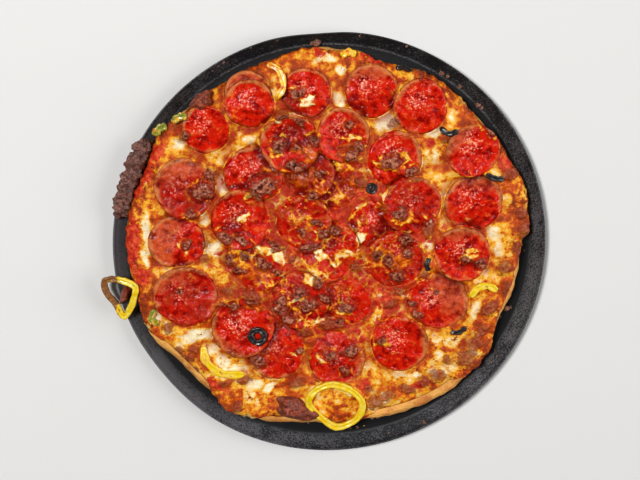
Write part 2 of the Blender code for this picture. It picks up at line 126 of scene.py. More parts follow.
# Blistered spots that baked brown: x, y, half length, half width, turn, height
BLISTERS = [
    (-23.5, 111, 5, 4, 0, 1), (-35, 97, 4.5, 3.5, 0, 0.8), (-36, 76, 5, 5.5, 0, 1.2),
    (-25, 75, 4, 3, 0, 0.6), (-24, 62, 8.5, 4.5, -10, 1.4), (-47, 47, 12, 8, 25, 1.8),
    (-88, 44, 8, 6.5, 20, 1.6), (-83, 56, 5, 4, 20, 1), (-12, 80, 5, 4, 0, 0.8), (-22, 92, 4, 2.5, 0, 0.6),
    (-101, 82, 5, 4, 30, 1.2), (-8, 56, 4, 4, 0, 0.8), (-13, 41, 5, 4, 0, 0.9), (18, 75, 5, 5, 0, 1.1),
    (15, 68, 6, 4, 0, 1), (12, 90, 4, 3, 0, 0.4), (41, 64, 8.5, 4.5, 12, 1.5), (21, 50, 5, 5, 0, 1.1),
    (55, 57, 6, 4, 0, 0.8), (42, 91, 3, 3.5, 0, 0.5), (47, 28, 7, 4, 0, 1), (68, 17, 4.5, 6.5, -10, 1.3),
    (52, 9, 6, 4.5, -10, 1.3), (54, -1, 4, 3.5, 0, 0.9), (32, -2, 4, 4.5, 0, 1.2), (41, -6, 4, 5, 10, 1.2),
    (46, -17, 6, 3.5, -10, 1.2), (65, -16, 4, 3.5, 0, 0.8), (62, -46, 4.5, 3.5, 0, 0.8),
    (74, -29, 2.4, 2.4, 0, -1.2), (106, -8, 5, 5, 0, 1.4), (95, -6, 4, 3, 0, 0.8),
    (11, -40, 6.5, 4.5, 5, 1.5), (17, -11, 4, 4, 0, 0.8), (6, -53, 6, 4, 0, 0.8), (15, -73, 6, 5, 0, 1.1),
    (11, -89, 4, 4, 0, 1.3), (0, -76, 6, 4.5, 0, 0.9), (36, -65, 4, 4, 0, 0.7), (48, -29, 5, 3, 0, 0.9),
    (42, -38, 5, 4, 20, 1), (-74, 12, 7, 5, -25, 1.2), (-62, 9, 6, 3, -25, 0.9), (-60, -2, 4, 3, 0, 0.9),
    (-71, -5, 4.2, 5, 0, 1.3), (-49, -7, 4.2, 5.5, 10, 1.3), (-64, -12, 4.5, 4.5, 0, 1.2),
    (-43, -9, 3.5, 3, 0, 0.8), (-38, -13, 4, 3, 0, 0.8), (-72, -28, 4, 4, 0, 1),
    (-55, -33, 8.5, 5.5, -10, 1.4), (-68, -39, 5, 4, -20, 1), (-77, -38, 3.5, 3, 0, 0.7),
    (-39, 5, 6.5, 4, -25, 1.3), (-15, 4, 8, 4.5, 5, 1.3), (-5, 14, 5, 4.5, 0, 1.2),
    (-20, 16, 3.5, 4, 0, 0.8), (-10, 22, 4, 3, 0, 0.8), (-27, -5, 4, 3, 0, 0.7),
    (-22, -29, 5.5, 4.5, 0, 1.3), (-35, -35, 4.5, 5, 0, 1.1), (-37, -42, 6, 5, 0, 1),
    (-16, -38, 7, 5, 10, 1.2), (-4, -34, 5, 4, 0, 0.9), (-3, -52, 6, 5, 0, 1), (-9, -22, 4, 5, 0, 0.9),
    (-30, -48, 6, 4, -20, 0.9), (-18, -58, 6, 4, 0, 0.8), (-50, -80, 6, 5, 0, 0.9),
    (-22, -72, 4, 3, 0, 0.7), (-100, 6, 4, 4, 0, 0.9), (-97, 28, 5, 3.5, -40, 0.9),
    (-106, -28, 2.6, 2.6, 0, -0.9), (-107, -72, 5, 4, -40, 1), (-101, -78, 5, 4, 0, 1.1),
    (-97, -88, 3, 3, 0, 0.8), (-97, -71, 4, 4, 0, 0.8), (-66, -115, 4, 3.5, 0, 1.1),
    (-76, -97, 5, 4, 0, 0.9), (-62, -94, 6, 4, 10, 0.8), (-24, -97, 6, 4, 25, 1.1),
    (-15, -121, 6, 4, -35, 1), (33, -112, 8, 5.5, 25, 1.2), (27, -103, 4, 3, 0, 0.8),
    (41, -107, 5, 5, 0, 1), (56, -103, 7, 3.5, -5, 0.9), (78, -92, 7, 5.5, 20, 1.2),
    (69, -98, 5, 5, 0, 0.9), (83, -81, 4, 3, 0, 0.8), (98, -78, 9, 8, 50, 1.2), (103, -68, 7, 6, 60, 1.1),
    (107, -59, 6, 5, 60, 1), (113, -42, 7, 5, 40, 1), (124, -27, 4, 4, 0, 0.9), (123, -12, 6, 5, 60, 1.2),
    (130, 2, 4, 6, 0, 1), (133, 27, 4, 5, 0, 1.1), (123, 54, 5, 4, 0, 1), (77, 80, 4, 3, 0, 0.7),
    (59, 125, 6, 3.5, -10, 1.2), (3, 16, 5, 4, 0, 0.7), (-87, 6, 3.4, 3, 0, 0.9),
    (-88, -4, 3.4, 3.4, 0, 0.9), (-115, -54, 5, 4, -40, 0.8), (58, -38, 4, 3, 0, 0.6),
    (92, 102, 7, 4, -45, 1.1), (108, 87, 6, 3.5, -50, 0.9), (134, 14, 3.5, 7, 0, 1),
]

# Cheese that shows: x, y, half length, half width, turn, tone from 0 cream to 1 orange brown,
# and whether it also runs over the slices there
CHEESE_PATCHES = [
    (-15.5, 106, 6, 4.5, 40, 0.1, 1), (-38, 71, 4.5, 3.5, 0, 0.35, 1), (-22, 73, 9, 3, -5, 0.72, 1),
    (-57, 41, 4.5, 3, 20, 0.35, 1), (-15, 70, 5, 7, 0, 0.8, 1), (-13, 56, 4, 7, 0, 0.85, 1),
    (10, 62, 8, 5, -15, 0.48, 1), (13, 81, 9, 2.2, 0, 0.3, 1), (12, 71, 9, 7, 0, 0.85, 1),
    (19, 34, 6, 4, 30, 0.15, 1), (37, 61, 10, 2.5, -15, 0.6, 1), (50, 24, 8, 3.5, 0, 0.55, 1),
    (67, 5, 5, 4.5, -35, 0.15, 1), (21, 10, 4, 4.5, 0, 0.05, 1), (36, 2, 7, 4, 30, 0.55, 1),
    (46, -7, 7, 9, 20, 0.72, 1), (33, -8, 7, 5, 0, 0.62, 1), (96, -4, 5, 4.5, 0, 0.35, 1),
    (98, 1, 6, 1.8, 0, 0.3, 1), (8, -1, 7, 4, 20, 0.25, 1), (3, -7, 5, 3, 0, 0.3, 1),
    (10, -44, 7, 2.6, 5, 0.45, 1), (-1, -41, 2.4, 5, 0, 0.7, 1), (-14, -12, 10, 5, -20, 0.4, 1),
    (-13, -19, 8, 6, 0, 0.25, 1), (-22, -33, 6, 2, 0, 0.3, 1), (-25, -43, 2.4, 6, 0, 0.5, 1),
    (-60, -5, 16, 7, -12, 0.55, 1), (-52, -14, 15, 5, -12, 0.7, 1), (-35, -4, 7, 4, -40, 0.12, 1),
    (-46, 2, 7, 3.4, -20, 0.3, 1), (-36, 8, 9, 2.6, 0, 0.65, 1), (-15, 21, 4, 6, 0, 0.55, 1),
    (-52, -38, 12, 4, 0, 0.8, 1), (-61, 26, 6, 2.6, 35, 0.2, 1), (37, -66, 5, 4, 0, 0.45, 1),
    (42, -40, 9, 6, 20, 0.7, 1), (-7, -2, 6, 3, -30, 0.2, 1), (-30, 37, 4, 4, 0, 0.5, 0),
    (3, 17, 6, 5, 0, 0.85, 1), (8, 26, 9, 4, 0, 0.55, 1), (22, 22, 3.5, 4.5, 0, 0.6, 1),
    (-22, 51, 7, 6, 0, 0.88, 1), (-8, 46, 6, 3, -30, 0.6, 1), (35, 32, 4, 3, 0, 0.8, 1),
    (15, 48, 4, 8, 10, 0.8, 1), (-30, 94, 9, 3.2, 20, 0.05, 0), (-40, 89, 7, 3, 30, 0.2, 0),
    (-4, 134, 9, 3, 0, 0.12, 0), (8, 141, 4, 3, 0, 0.35, 0), (6, 127, 4, 4, 0, 0.15, 0),
    (5, 106, 4, 5.5, 0, 0.1, 0), (37, 91, 9, 6, 20, 0.08, 0), (49, 83, 5, 2.5, -30, 0.45, 0),
    (70, 84, 6, 3, 35, 0.15, 0), (82, 96, 4, 4.5, 0, 0.25, 0), (79, 117, 5, 3, -35, 0.3, 0),
    (82, 108, 3, 8, 10, 0.65, 0), (72, 69, 3, 5, 0, 0.27, 0), (73, 59, 9, 3.5, 0, 0.78, 0),
    (67, 55, 5, 5, 0, 0.5, 0), (62, 77, 6, 3.4, -20, 0.62, 0), (78, 47, 4, 3, 0, 0.45, 0),
    (113, 13, 5, 7, -20, 0.24, 0), (122, 17, 5, 5, 0, 0.55, 0), (117, 2, 3, 6, 0, 0.3, 0),
    (123, 37, 4, 6, 0, 0.42, 0), (103, -44, 3.5, 8, -15, 0.2, 0), (78, -76, 4, 3, 0, 0.28, 0),
    (88, -67, 7, 4, 20, 0.25, 0), (-128, 17, 2.6, 15, 2, 0.12, 0), (-124, 14, 2, 9, -5, 0.55, 0),
    (-129, -3, 2.6, 7, 10, 0.1, 0), (-124, -47, 4, 4.5, 0, 0.02, 0), (-95, -61, 11, 5.5, 15, 0.06, 0),
    (-84, -60, 3, 7, -10, 0.25, 0), (-76, -80, 6, 5, 30, 0.08, 0), (-81, 3, 5, 5.5, 0, 0.18, 0),
    (-87, 24, 3, 6, 0, 0.22, 0), (-76, 48, 4, 9, 10, 0.12, 0), (-58, 79, 9, 4, 15, 0.18, 0),
    (-65, 77, 6, 4, 0, 0.62, 0), (-103, 76, 3.4, 3, 0, 0.02, 0), (-43, -101, 5.5, 3, 45, 0.08, 0),
    (26, -87, 3, 6, -30, 0.3, 0), (15, -104, 5, 3, 30, 0.15, 0), (55, -92.5, 13, 1.8, 0, 0.15, 0),
    (88, -87, 4, 3.4, 0, 0.45, 0), (-92, -93, 6, 5, -45, 0.32, 0), (-33, 128, 4, 9, -35, 0.52, 0),
    (-20, 136, 9, 2.8, 8, 0.48, 0), (-74, 116, 7, 5, 30, 0.55, 0), (-79, 105, 3.4, 8, -15, 0.55, 0),
    (-36, 36, 7, 4, 20, 0.4, 0), (-72, 67, 8, 4, 25, 0.45, 0), (34, -37, 4, 10, 10, 0.48, 0),
    (28, -60, 4, 9, 20, 0.62, 0), (16, -52, 9, 4, 15, 0.7, 0), (38, -93, 9, 4, -20, 0.5, 0),
    (54, -97, 8, 2.4, 0, 0.55, 0), (-121, -14, 2.4, 5, 20, 0.45, 0), (-77, -17, 3.4, 9, 10, 0.6, 0),
    (-86, -8, 4, 8, 10, 0.5, 0), (-35, 112, 4, 11, 0, 0.75, 0), (-70, 84, 5, 11, 5, 0.7, 0),
    (-73, -107, 9, 8, 0, 0.72, 0), (-58, -104, 5, 8, 0, 0.35, 0), (-47, -120, 8, 4, -10, 0.66, 0),
    (-120, -62, 5, 4, -40, 0.66, 0), (75, -65, 6, 3, -20, 0.3, 0), (112, 54, 4, 3, -20, 0.25, 0),
    (116, 68, 4, 3, -50, 0.45, 0), (116, 45, 2.6, 5, 0, 0.6, 0), (-5, 95, 7, 3, 0, 0.6, 0),
    (-48, 20, 2, 9, 0, 0.5, 0), (-36, -22, 4, 2, 0, 0.6, 1), (-70, -87, 10, 5, 10, 0.12, 0),
    (-84, -73, 8, 5, -30, 0.16, 0), (-53, -98, 7, 4, 0, 0.22, 0), (-128, 34, 3, 10, -14, 0.5, 0),
]

# Grease and sauce that has boiled up red: x, y, half length, half width, turn
RED_PATCHES = [
    (-130, 50, 22, 4.5, 62), (-137, 8, 5, 24, -2), (-131, -17, 6, 8, 10), (-119, 70, 10, 4, 50),
    (-95, 106, 9, 4, 40), (29, 134, 11, 3.4, -15), (101, 97, 10, 4, -45), (119, 61, 8, 5, -60),
    (-9, 138, 6, 4, -10), (-98, 88, 8, 4, 60), (-64, 126, 6, 3, 30), (68, 77, 4, 3, 0), (117, 29, 6, 3, 60),
    (-83, -98, 9, 4, -30), (66, -99, 9, 4, 10), (25, -100, 6, 4, 40), (103, 0, 4, 3, 0), (-20, 0, 8, 5, 0),
    (0, 32, 8, 5, 0),
]

# Curved strips of vegetable: node, points of the middle line, width, height, finish
STRIPS = [
    ("banana_pepper_arc_left", [(-90, -69), (-88, -80), (-77, -89), (-61, -90)], 6.0, 3.0, "banana_pepper"),
    ("banana_pepper_arc_right", [(99, -33), (103, -27), (111, -25), (118, -29)], 5.0, 3.0, "banana_pepper"),
    ("banana_pepper_strip_back", [(-44, 131), (-36, 127), (-33, 117), (-38, 108)], 4.5, 3.0, "banana_pepper"),
    ("banana_pepper_bit_back", [(6, 136), (10, 139), (16, 137)], 5.0, 3.0, "banana_pepper"),
    ("black_olive_right_back", [(74, 88), (79, 84), (86, 86)], 4.0, 3.0, "black_olive"),
    ("black_olive_right", [(106, 56), (112, 53), (119, 52)], 4.0, 2.6, "black_olive"),
    ("black_olive_middle_right", [(69, -4), (67, -9), (69, -14)], 3.5, 2.6, "black_olive"),
    ("black_olive_front_right", [(86, -59), (91, -60), (97, -56)], 3.5, 2.6, "black_olive"),
    ("black_olive_back", [(43, 128), (48, 129), (53, 126)], 3.5, 2.6, "black_olive"),
    ("green_pepper_left_back", [(-121, 82), (-117, 87), (-112, 89)], 5.5, 3.0, "green_pepper"),
    ("green_pepper_left_back_upper", [(-108, 92), (-103, 96), (-98, 96)], 5.0, 3.0, "green_pepper"),
    ("green_pepper_left", [(-123, -41), (-126, -47), (-121, -52)], 4.5, 2.6, "green_pepper"),
]
RINGS = [
    ("banana_pepper_ring_front", [(-15, -113), (-12, -103), (0, -97), (14, -101), (23, -111), (20, -123),
                                  (8, -130), (-2, -127)], 5.0, 4.0, "banana_pepper"),
    ("banana_pepper_ring_over_rim", [(-137, -24), (-148, -19.5), (-158, -21), (-157, -30), (-151, -38),
                                     (-146, -47), (-141.5, -42), (-138, -33)], 4.6, 3.6, "banana_pepper"),
]
# How far cheese hides some of them, from 0 to 1
HIDDEN = {
    "banana_pepper_ring_front": 0.28, "banana_pepper_arc_left": 0.36, "banana_pepper_arc_right": 0.24,
    "banana_pepper_strip_back": 0.62, "banana_pepper_bit_back": 0.5, "green_pepper_left": 0.42,
    "green_pepper_left_back_upper": 0.42, "green_pepper_left_back": 0.36,
}
# Rings of olive: node, x, y, radius, radius of the hole, height
OLIVE_RINGS = [
    ("black_olive_ring_left", -51.5, -60.0, 6.8, 2.4, 3.2),
    ("black_olive_ring_middle", 28.0, 45.0, 4.0, 0.5, 2.8),
]
# Lumps of browned meat: node, x, y, length, width, turn
LUMPS = [
    ("browned_meat_front", -24.0, -117.0, 33.0, 16.0, -22.0),
    ("browned_meat_left_back", -88.0, 106.0, 16.0, 12.0, 40.0),
]
# A baked bit that lies under the ring on the rim
RING_BIT = ("ring_bit", -144.5, -31.0, 15.0, 6.5, 72.0)

# The crumbly ridge of burnt cheese on the pan's wall, between two angles
RIDGE_FROM = 148.0
RIDGE_TO = 171.0
RIDGE_STEPS = 22
RIDGE_INNER = 141.9
RIDGE_OUTER = 152.9
RIDGE_TOP = 15.0

# Crumbs on the pan: x, y, size across
CRUMBS = [
    (-77, 128, 1.3), (-73, 131, 1.6), (-70.5, 134, 1.2), (-81, 125, 1.1), (-55, 141, 1.3), (-37, 146, 1.8),
    (-70, 124, 1.4), (51, 142, 1.9), (19, 149, 1.4), (76, 123, 3.4), (80, 121, 2.4), (89, 114, 3),
    (102, 101, 3.6), (105, 99, 2.4), (128, -47, 4.4), (131, -46, 2.6), (123, -53, 2.6), (139, -4, 1.4),
    (32, -129, 4.6), (36, -130, 2.6), (21, -138, 2), (26, -137, 1.4), (-15, -134, 1.5), (-10, 144, 5.2),
    (-13, 143, 3), (70, -132, 2.8), (118, -87, 1.2), (-84, -124, 1.3), (-118, -92, 1.1), (16, -139, 1.2),
    (122, -82, 1), (-98, -112, 1.2), (44, -141, 1),
]

# How far the maps of the top reach, and how many points a side a random lattice has
MAP_REACH = 165
LATTICE = 256
# How far a slice stands over the one it lies on, how deep the cheese leaves it, and its thickness
SLICE_STEP = 0.9
SLICE_EMBED = 0.8
SLICE_THICKNESS = 1.4
# How far apart the patterns of two slices are taken from the same bumps
SLICE_SHIFT = (37.0, -53.0)
# How far a slice's height is felt in the cheese beside it, and in how many rounds that is worked out
SPREAD_REACH = 11.0
SPREAD_ROUNDS = 500
# How finely the discs, the ridge and the strips are divided, and how near points are welded
CRUST_CUTS = (10, 10)
CHEESE_CUTS = (25, 6)
SLICE_CUTS = (22,)
LUMP_CUTS = (26,)
RIDGE_CUTS = (120, 40)
STRIP_STEPS = 20
WELD = 0.00001

FLOOR_SIZE = 6.0
FLOOR_DROP = 0.0002
SENSOR_WIDTH = 36.0

# Lamps: name, place, size across, the setting that holds the power
LAMPS = [
    ("main_lamp", (-0.95, 0.75, 2.3), 0.5, "key"),
    ("fill_lamp", (2.2, 0.4, 1.6), 2.0, "fill"),
    ("side_lamp", (1.9, 0.0, 0.26), 0.7, "side"),
]
# The camera's place, and its right, up and back directions
CAMERA_PLACE = (-0.04195, 0.22926, 0.87935)
CAMERA_TURN = ((0.99925, 0.00484, 0.03848), (0.00484, 0.96882, -0.24774), (-0.03848, 0.24774, 0.96806))


def tint(red, green, blue):
    """A colour as screens number it, from 0 to 255, turned to light values."""
    values = []
    for part in (red, green, blue):
        share = part / 255.0
        values.append(share / 12.92 if share <= 0.04045 else ((share + 0.055) / 1.055) ** 2.4)
    return tuple(values)


def colour_setting(name, note, red, green, blue):
    return FloatVectorProperty(name=name, description=note, subtype="COLOR", size=3, min=0.0, max=1.0,
                               default=tint(red, green, blue))


class PanSettings(bpy.types.PropertyGroup):
    turns: IntProperty(name="Sides", description="How many steps the pan is turned in", default=240)
    metal: colour_setting("Metal", "Colour of the seasoned black steel", 38, 38, 41)
    # This colour of bare metal also serves as the painted light on the pan's wall
    worn: colour_setting("Worn metal", "Colour where the metal is rubbed", 104, 103, 107)


class CrustSettings(bpy.types.PropertyGroup):
    dough: colour_setting("Dough", "Colour of the baked dough", 240, 178, 92)
    toasted: colour_setting("Toasted dough", "Colour where the dough is darker", 196, 112, 44)
    relief: FloatProperty(name="Relief", description="Height of the dough's unevenness",
                          default=0.0007, unit="LENGTH")


class CheeseSettings(bpy.types.PropertyGroup):
    cream: colour_setting("Cream", "Cheese that has only melted", 252, 238, 200)
    yellow: colour_setting("Yellow", "Cheese that has taken some oil", 244, 182, 40)
    orange: colour_setting("Orange", "Cheese soaked with red oil", 208, 88, 14)
    brown: colour_setting("Brown", "Cheese baked brown", 158, 60, 24)
    blister: colour_setting("Blister", "Top of a baked blister", 132, 62, 42)
    burnt: colour_setting("Burnt", "Rim of a baked blister", 84, 24, 12)
    # This colour is the painted highlight on the tops and wrinkles of the blisters
    pale: colour_setting("Pale blister", "Driest top of a baked blister", 186, 118, 88)
    grease: colour_setting("Grease", "Red grease on the cheese", 200, 42, 16)
    thin_grease: colour_setting("Thin grease", "Red grease where it is thin", 228, 100, 52)
    relief: FloatProperty(name="Relief", description="Height of the cheese's bumps",
                          default=0.0006, unit="LENGTH")


class PepperoniSettings(bpy.types.PropertyGroup):
    red: colour_setting("Red", "Colour of the oily meat", 207, 31, 5)
    bright: colour_setting("Bright red", "Colour of the lighter flecks", 232, 96, 36)
    dark: colour_setting("Dark red", "Colour of the darker flecks", 150, 10, 3)
    dry: colour_setting("Dry", "Colour of the dry, baked rim", 202, 86, 46)
    tan: colour_setting("Tan", "Colour of the driest edge", 206, 126, 70)
    # This colour also serves for the painted highlight flecks on the side of each slice that faces the lamps
    fat: colour_setting("Fat", "Colour of the wet, fatty flecks", 252, 174, 146)
    dull: colour_setting("Dull", "Colour of the duller, browned meat", 164, 44, 26)
    relief: FloatProperty(name="Relief", description="Height of the grain of the meat",
                          default=0.00034, unit="LENGTH")
    dome: FloatProperty(name="Dome", description="How far a slice's middle stands up",
                        default=0.0014, unit="LENGTH")


class ToppingSettings(bpy.types.PropertyGroup):
    banana: colour_setting("Banana pepper", "Colour of the yellow pepper", 232, 194, 4)
    banana_pale: colour_setting("Banana pepper flesh", "Colour of its paler flesh", 238, 220, 96)
    green: colour_setting("Green pepper", "Colour of the green pepper", 128, 132, 44)
    green_pale: colour_setting("Green pepper flesh", "Colour of its paler flesh", 176, 176, 70)
    scorched: colour_setting("Scorched pepper", "Colour where a pepper is burnt", 62, 30, 18)
    toasted: colour_setting("Toasted pepper", "Colour where a pepper is baked brown", 160, 94, 46)
    olive: colour_setting("Olive", "Colour of the black olive", 26, 21, 20)
    olive_cut: colour_setting("Cut olive", "Colour of the olive where it is cut", 70, 52, 46)
    meat: colour_setting("Browned meat", "Colour of the browned meat", 164, 74, 44)
    ridge: colour_setting("Burnt ridge", "Colour of the burnt ridge", 148, 98, 84)
    crumbs: colour_setting("Crumbs", "Colour of the crumbs on the pan", 170, 118, 96)


class StageSettings(bpy.types.PropertyGroup):
    floor: colour_setting("Floor", "Colour of the pale floor", 222, 221, 219)
    sky: FloatProperty(name="Room light", description="Strength of the light from all around", default=0.07)
    key: FloatProperty(name="Main light", description="Power of the large lamp", default=61.0)
    fill: FloatProperty(name="Fill light", description="Power of the weaker lamp", default=38.0)
    side: FloatProperty(name="Side light", description="Power of the low lamp at the side", default=8.0)
    lens: FloatProperty(name="Lens", description="Focal length in millimetres", default=71.92)


# Shapes worked out in numbers

def easy(value, low, high):
    """0 below low, 1 above high and an easy curve between."""
    share = np.clip((value - low) / (high - low), 0.0, 1.0)
    return share * share * (3.0 - 2.0 * share)


def four_cells(field, i, j, a, b):
    """A field's value at shares a and b of the way from cell i, j to the next; it repeats past its edges."""
    rows, columns = field.shape
    i, j, next_i, next_j = i % rows, j % columns, (i + 1) % rows, (j + 1) % columns
    return ((field[i, j] * (1 - a) + field[next_i, j] * a) * (1 - b)
            + (field[i, next_j] * (1 - a) + field[next_i, next_j] * a) * b)


def lumps(x, y, size, seed):
    """Smooth random bumps from -1 to 1, about one size across."""
    lattice = np.random.default_rng(seed).uniform(-1.0, 1.0, (LATTICE, LATTICE))
    lean = seed * 0.7
    across = (x * math.cos(lean) - y * math.sin(lean)) / size
    along = (x * math.sin(lean) + y * math.cos(lean)) / size
    i, j = np.floor(across).astype(int), np.floor(along).astype(int)
    return four_cells(lattice, i, j, easy(across - i, 0.0, 1.0), easy(along - j, 0.0, 1.0))


def many_lumps(x, y, *kinds):
    """Bumps of several kinds added up, each with its height, size and seed."""
    return sum(height * lumps(x, y, size, seed) for height, size, seed in kinds)


def tapered(share, power):
    """How full a long piece is along its length: 1 in the middle and 0 at both tips."""
    return np.sqrt(np.clip(1.0 - np.abs(2.0 * share - 1.0) ** power, 0.0, 1.0))


def curve(before, start, end, after, part):
    """A place part of the way from start to end, on a smooth curve through all four."""
    return start + 0.5 * part * (end - before + part * (
        2 * before - 5 * start + 4 * end - after + part * (3 * (start - end) + after - before)))


def around(values, angle):
    """A smooth closed curve through values spaced evenly round the circle."""
    place = (angle % 360.0) / 360.0 * len(values)
    step = np.floor(place).astype(int)
    return curve(*(values[(step + k) % len(values)] for k in (-1, 0, 1, 2)), place - step)


def polar(reach, angle):
    """The x and y of a distance from the middle and an angle in degrees."""
    return reach * np.cos(np.radians(angle)), reach * np.sin(np.radians(angle))


def bare_band(angle):
    """How wide the band of bare crust is at each angle, and how bare it is from 0 to 1."""
    width = np.zeros_like(angle)
    bare = np.zeros_like(angle)
    for start, end, most in BARE_CRUST:
        share = easy(np.minimum(angle - start, end - angle), -4.0, 5.0)
        width = np.where(share > bare, most, width)
        bare = np.maximum(bare, share)
    return width, bare


def crest_reach(angle):
    """How far out the crest of the dough's edge is."""
    return around(EDGE_REACH, angle) - CHEESE_SKIN * (1.0 - bare_band(angle)[1]) - CRUST_BULGE


def skin(angle, place):
    """Distance and height of the dough's skin; place is 0.5 on the crest and 1 at the foot."""
    crest = crest_reach(angle)
    distance = crest * place / 0.5
    rise = easy(distance, crest - CRUST_DISH_EDGE, crest)
    turn = np.radians(90.0 + (FOOT_ANGLE - 90.0) * (place - 0.5) / 0.5)
    below = (CRUST_WAIST - CRUST_FOOT) / -math.sin(math.radians(FOOT_ANGLE))
    tall = np.where(turn < 0.0, below, CRUST_CREST - CRUST_WAIST)
    on_top = place <= 0.5
    reach = np.where(on_top, distance, crest + CRUST_BULGE * np.cos(turn))
    height = np.where(on_top, CRUST_FLOOR + (CRUST_CREST - CRUST_FLOOR) * rise,
                      CRUST_WAIST + tall * np.sin(turn))
    return reach, height


def lifted_skin(angle, place, lift):
    """A point that stands off the skin by lift, at a right angle to it."""
    near, low = skin(angle, place - 0.004)
    far, high = skin(angle, place + 0.004)
    along = np.hypot(far - near, high - low)
    reach, height = skin(angle, place)
    return reach - lift * (high - low) / along, height + lift * (far - near) / along


def cheese_end(angle):
    """The place on the skin where the cheese stops."""
    width, bare = bare_band(angle)
    reach = around(EDGE_REACH, angle)
    upright = np.degrees(np.arccos(np.clip(1.0 - width / CRUST_BULGE, -1.0, 1.0)))
    on_side = 0.5 + 0.5 * (90.0 - upright) / (90.0 - FOOT_ANGLE)
    on_top = 0.5 * (reach - width) / (reach - CRUST_BULGE)
    stop = np.where(width >= CRUST_BULGE, on_top, on_side)
    drape = CHEESE_DRAPE + 0.05 * np.sin(np.radians(angle * 7.0)) + 0.04 * np.sin(np.radians(angle * 23.0))
    return np.where(bare == 0.0, drape, CHEESE_DRAPE + (stop - CHEESE_DRAPE) * bare)


def oval_distance(x, y, spot_x, spot_y, long, wide, turn):
    """0 in the middle of an oval and 1 on its outline."""
    lean = math.radians(turn)
    across = (x - spot_x) * math.cos(lean) + (y - spot_y) * math.sin(lean)
    along = (y - spot_y) * math.cos(lean) - (x - spot_x) * math.sin(lean)
    return np.hypot(across / long, along / wide)


def warped(x, y):
    """The same places pushed about a little, so that outlines drawn there are uneven."""
    return (x + many_lumps(x, y, (1.3, 5.0, 11), (0.6, 2.2, 12)),
            y + many_lumps(x, y, (1.3, 5.0, 13), (0.6, 2.2, 14)))


def blister_fields(x, y):
    """How blistered each place is, from 0 to 1, and how high it stands."""
    x, y = warped(x, y)
    cover = np.full_like(x, -0.5)
    rise = np.zeros_like(x)
    for *oval, height in BLISTERS:
        away = oval_distance(x, y, *oval)
        cover = np.maximum(cover, np.clip(1.3 - away, -0.5, 1.0))
        dome = 1.3 * height * np.clip(1.0 - (away / 1.15) ** 2, 0.0, 1.0)
        moat = 0.4 * abs(height) * np.exp(-((away - 1.25) / 0.25) ** 2)
        rise = np.where(away < 1.6, rise + dome - moat, rise)
    return cover, rise


def large_relief(x, y):
    """The heaves and hollows that the whole top has taken in the oven."""
    middle = 0.6 + 0.4 * easy(-np.hypot(x, y), -100.0, -50.0)
    return middle * many_lumps(x, y, (1.1, 12.0, 71), (0.7, 6.5, 72))


def cheese_fields(x, y):
    """The cheese's tone from cream to orange, and where it runs over the slices."""
    near_x, near_y = warped(x, y)
    tone = 0.62 + many_lumps(x, y, (0.26, 9.0, 21), (0.18, 4.0, 22))
    uneven = 0.12 * lumps(x, y, 3.0, 23)
    melt = np.zeros_like(x)
    for *oval, shade, over in CHEESE_PATCHES:
        share = easy(-oval_distance(near_x, near_y, *oval), -1.35, -0.55)
        tone += (shade + 0.12 * over + uneven - tone) * share
        if over:
            melt = np.maximum(melt, share)
    halo = np.zeros_like(x)
    for *oval, _ in BLISTERS:
        away = oval_distance(near_x, near_y, *oval)
        halo = np.maximum(halo, np.exp(-((away - 1.35) / 0.28) ** 2))
    halo *= easy(lumps(x, y, 8.0, 24), -0.3, 0.35)
    middle = easy(-np.hypot(x, y + 5.0), -85.0, -50.0)
    web = middle * (0.19 + 0.34 * lumps(x, y, 15.0, 25)) - 0.25 * (1.0 - middle)
    return tone, np.maximum(np.maximum(0.86 * melt, 0.58 * halo), web) + 0.15 * lumps(x, y, 3.2, 26)


def red_field(x, y):
    """How much red grease lies on each place."""
    x, y = warped(x, y)
    red = 0.66 * easy(-np.hypot(x, y), -95.0, -60.0) + 0.3 * lumps(x, y, 7.0, 27)
    for oval in RED_PATCHES:
        red = np.maximum(red, easy(-oval_distance(x, y, *oval), -1.25, -0.5))
    return red


def node_tree(name):
    """A CAD node's faces, in millimetres, for feeling its surface."""
    mesh = frame["nodes"][name].data
    mesh.calc_loop_triangles()
    points = [vertex.co / MM for vertex in mesh.vertices]
    return BVHTree.FromPolygons(points, [tuple(face.vertices) for face in mesh.loop_triangles])


def felt_height(tree, x, y):
    """The height of a surface under a place, or None where there is none."""
    hit = tree.ray_cast(Vector((x, y, 100.0)), Vector((0.0, 0.0, -1.0)))[0]
    return None if hit is None else hit.z


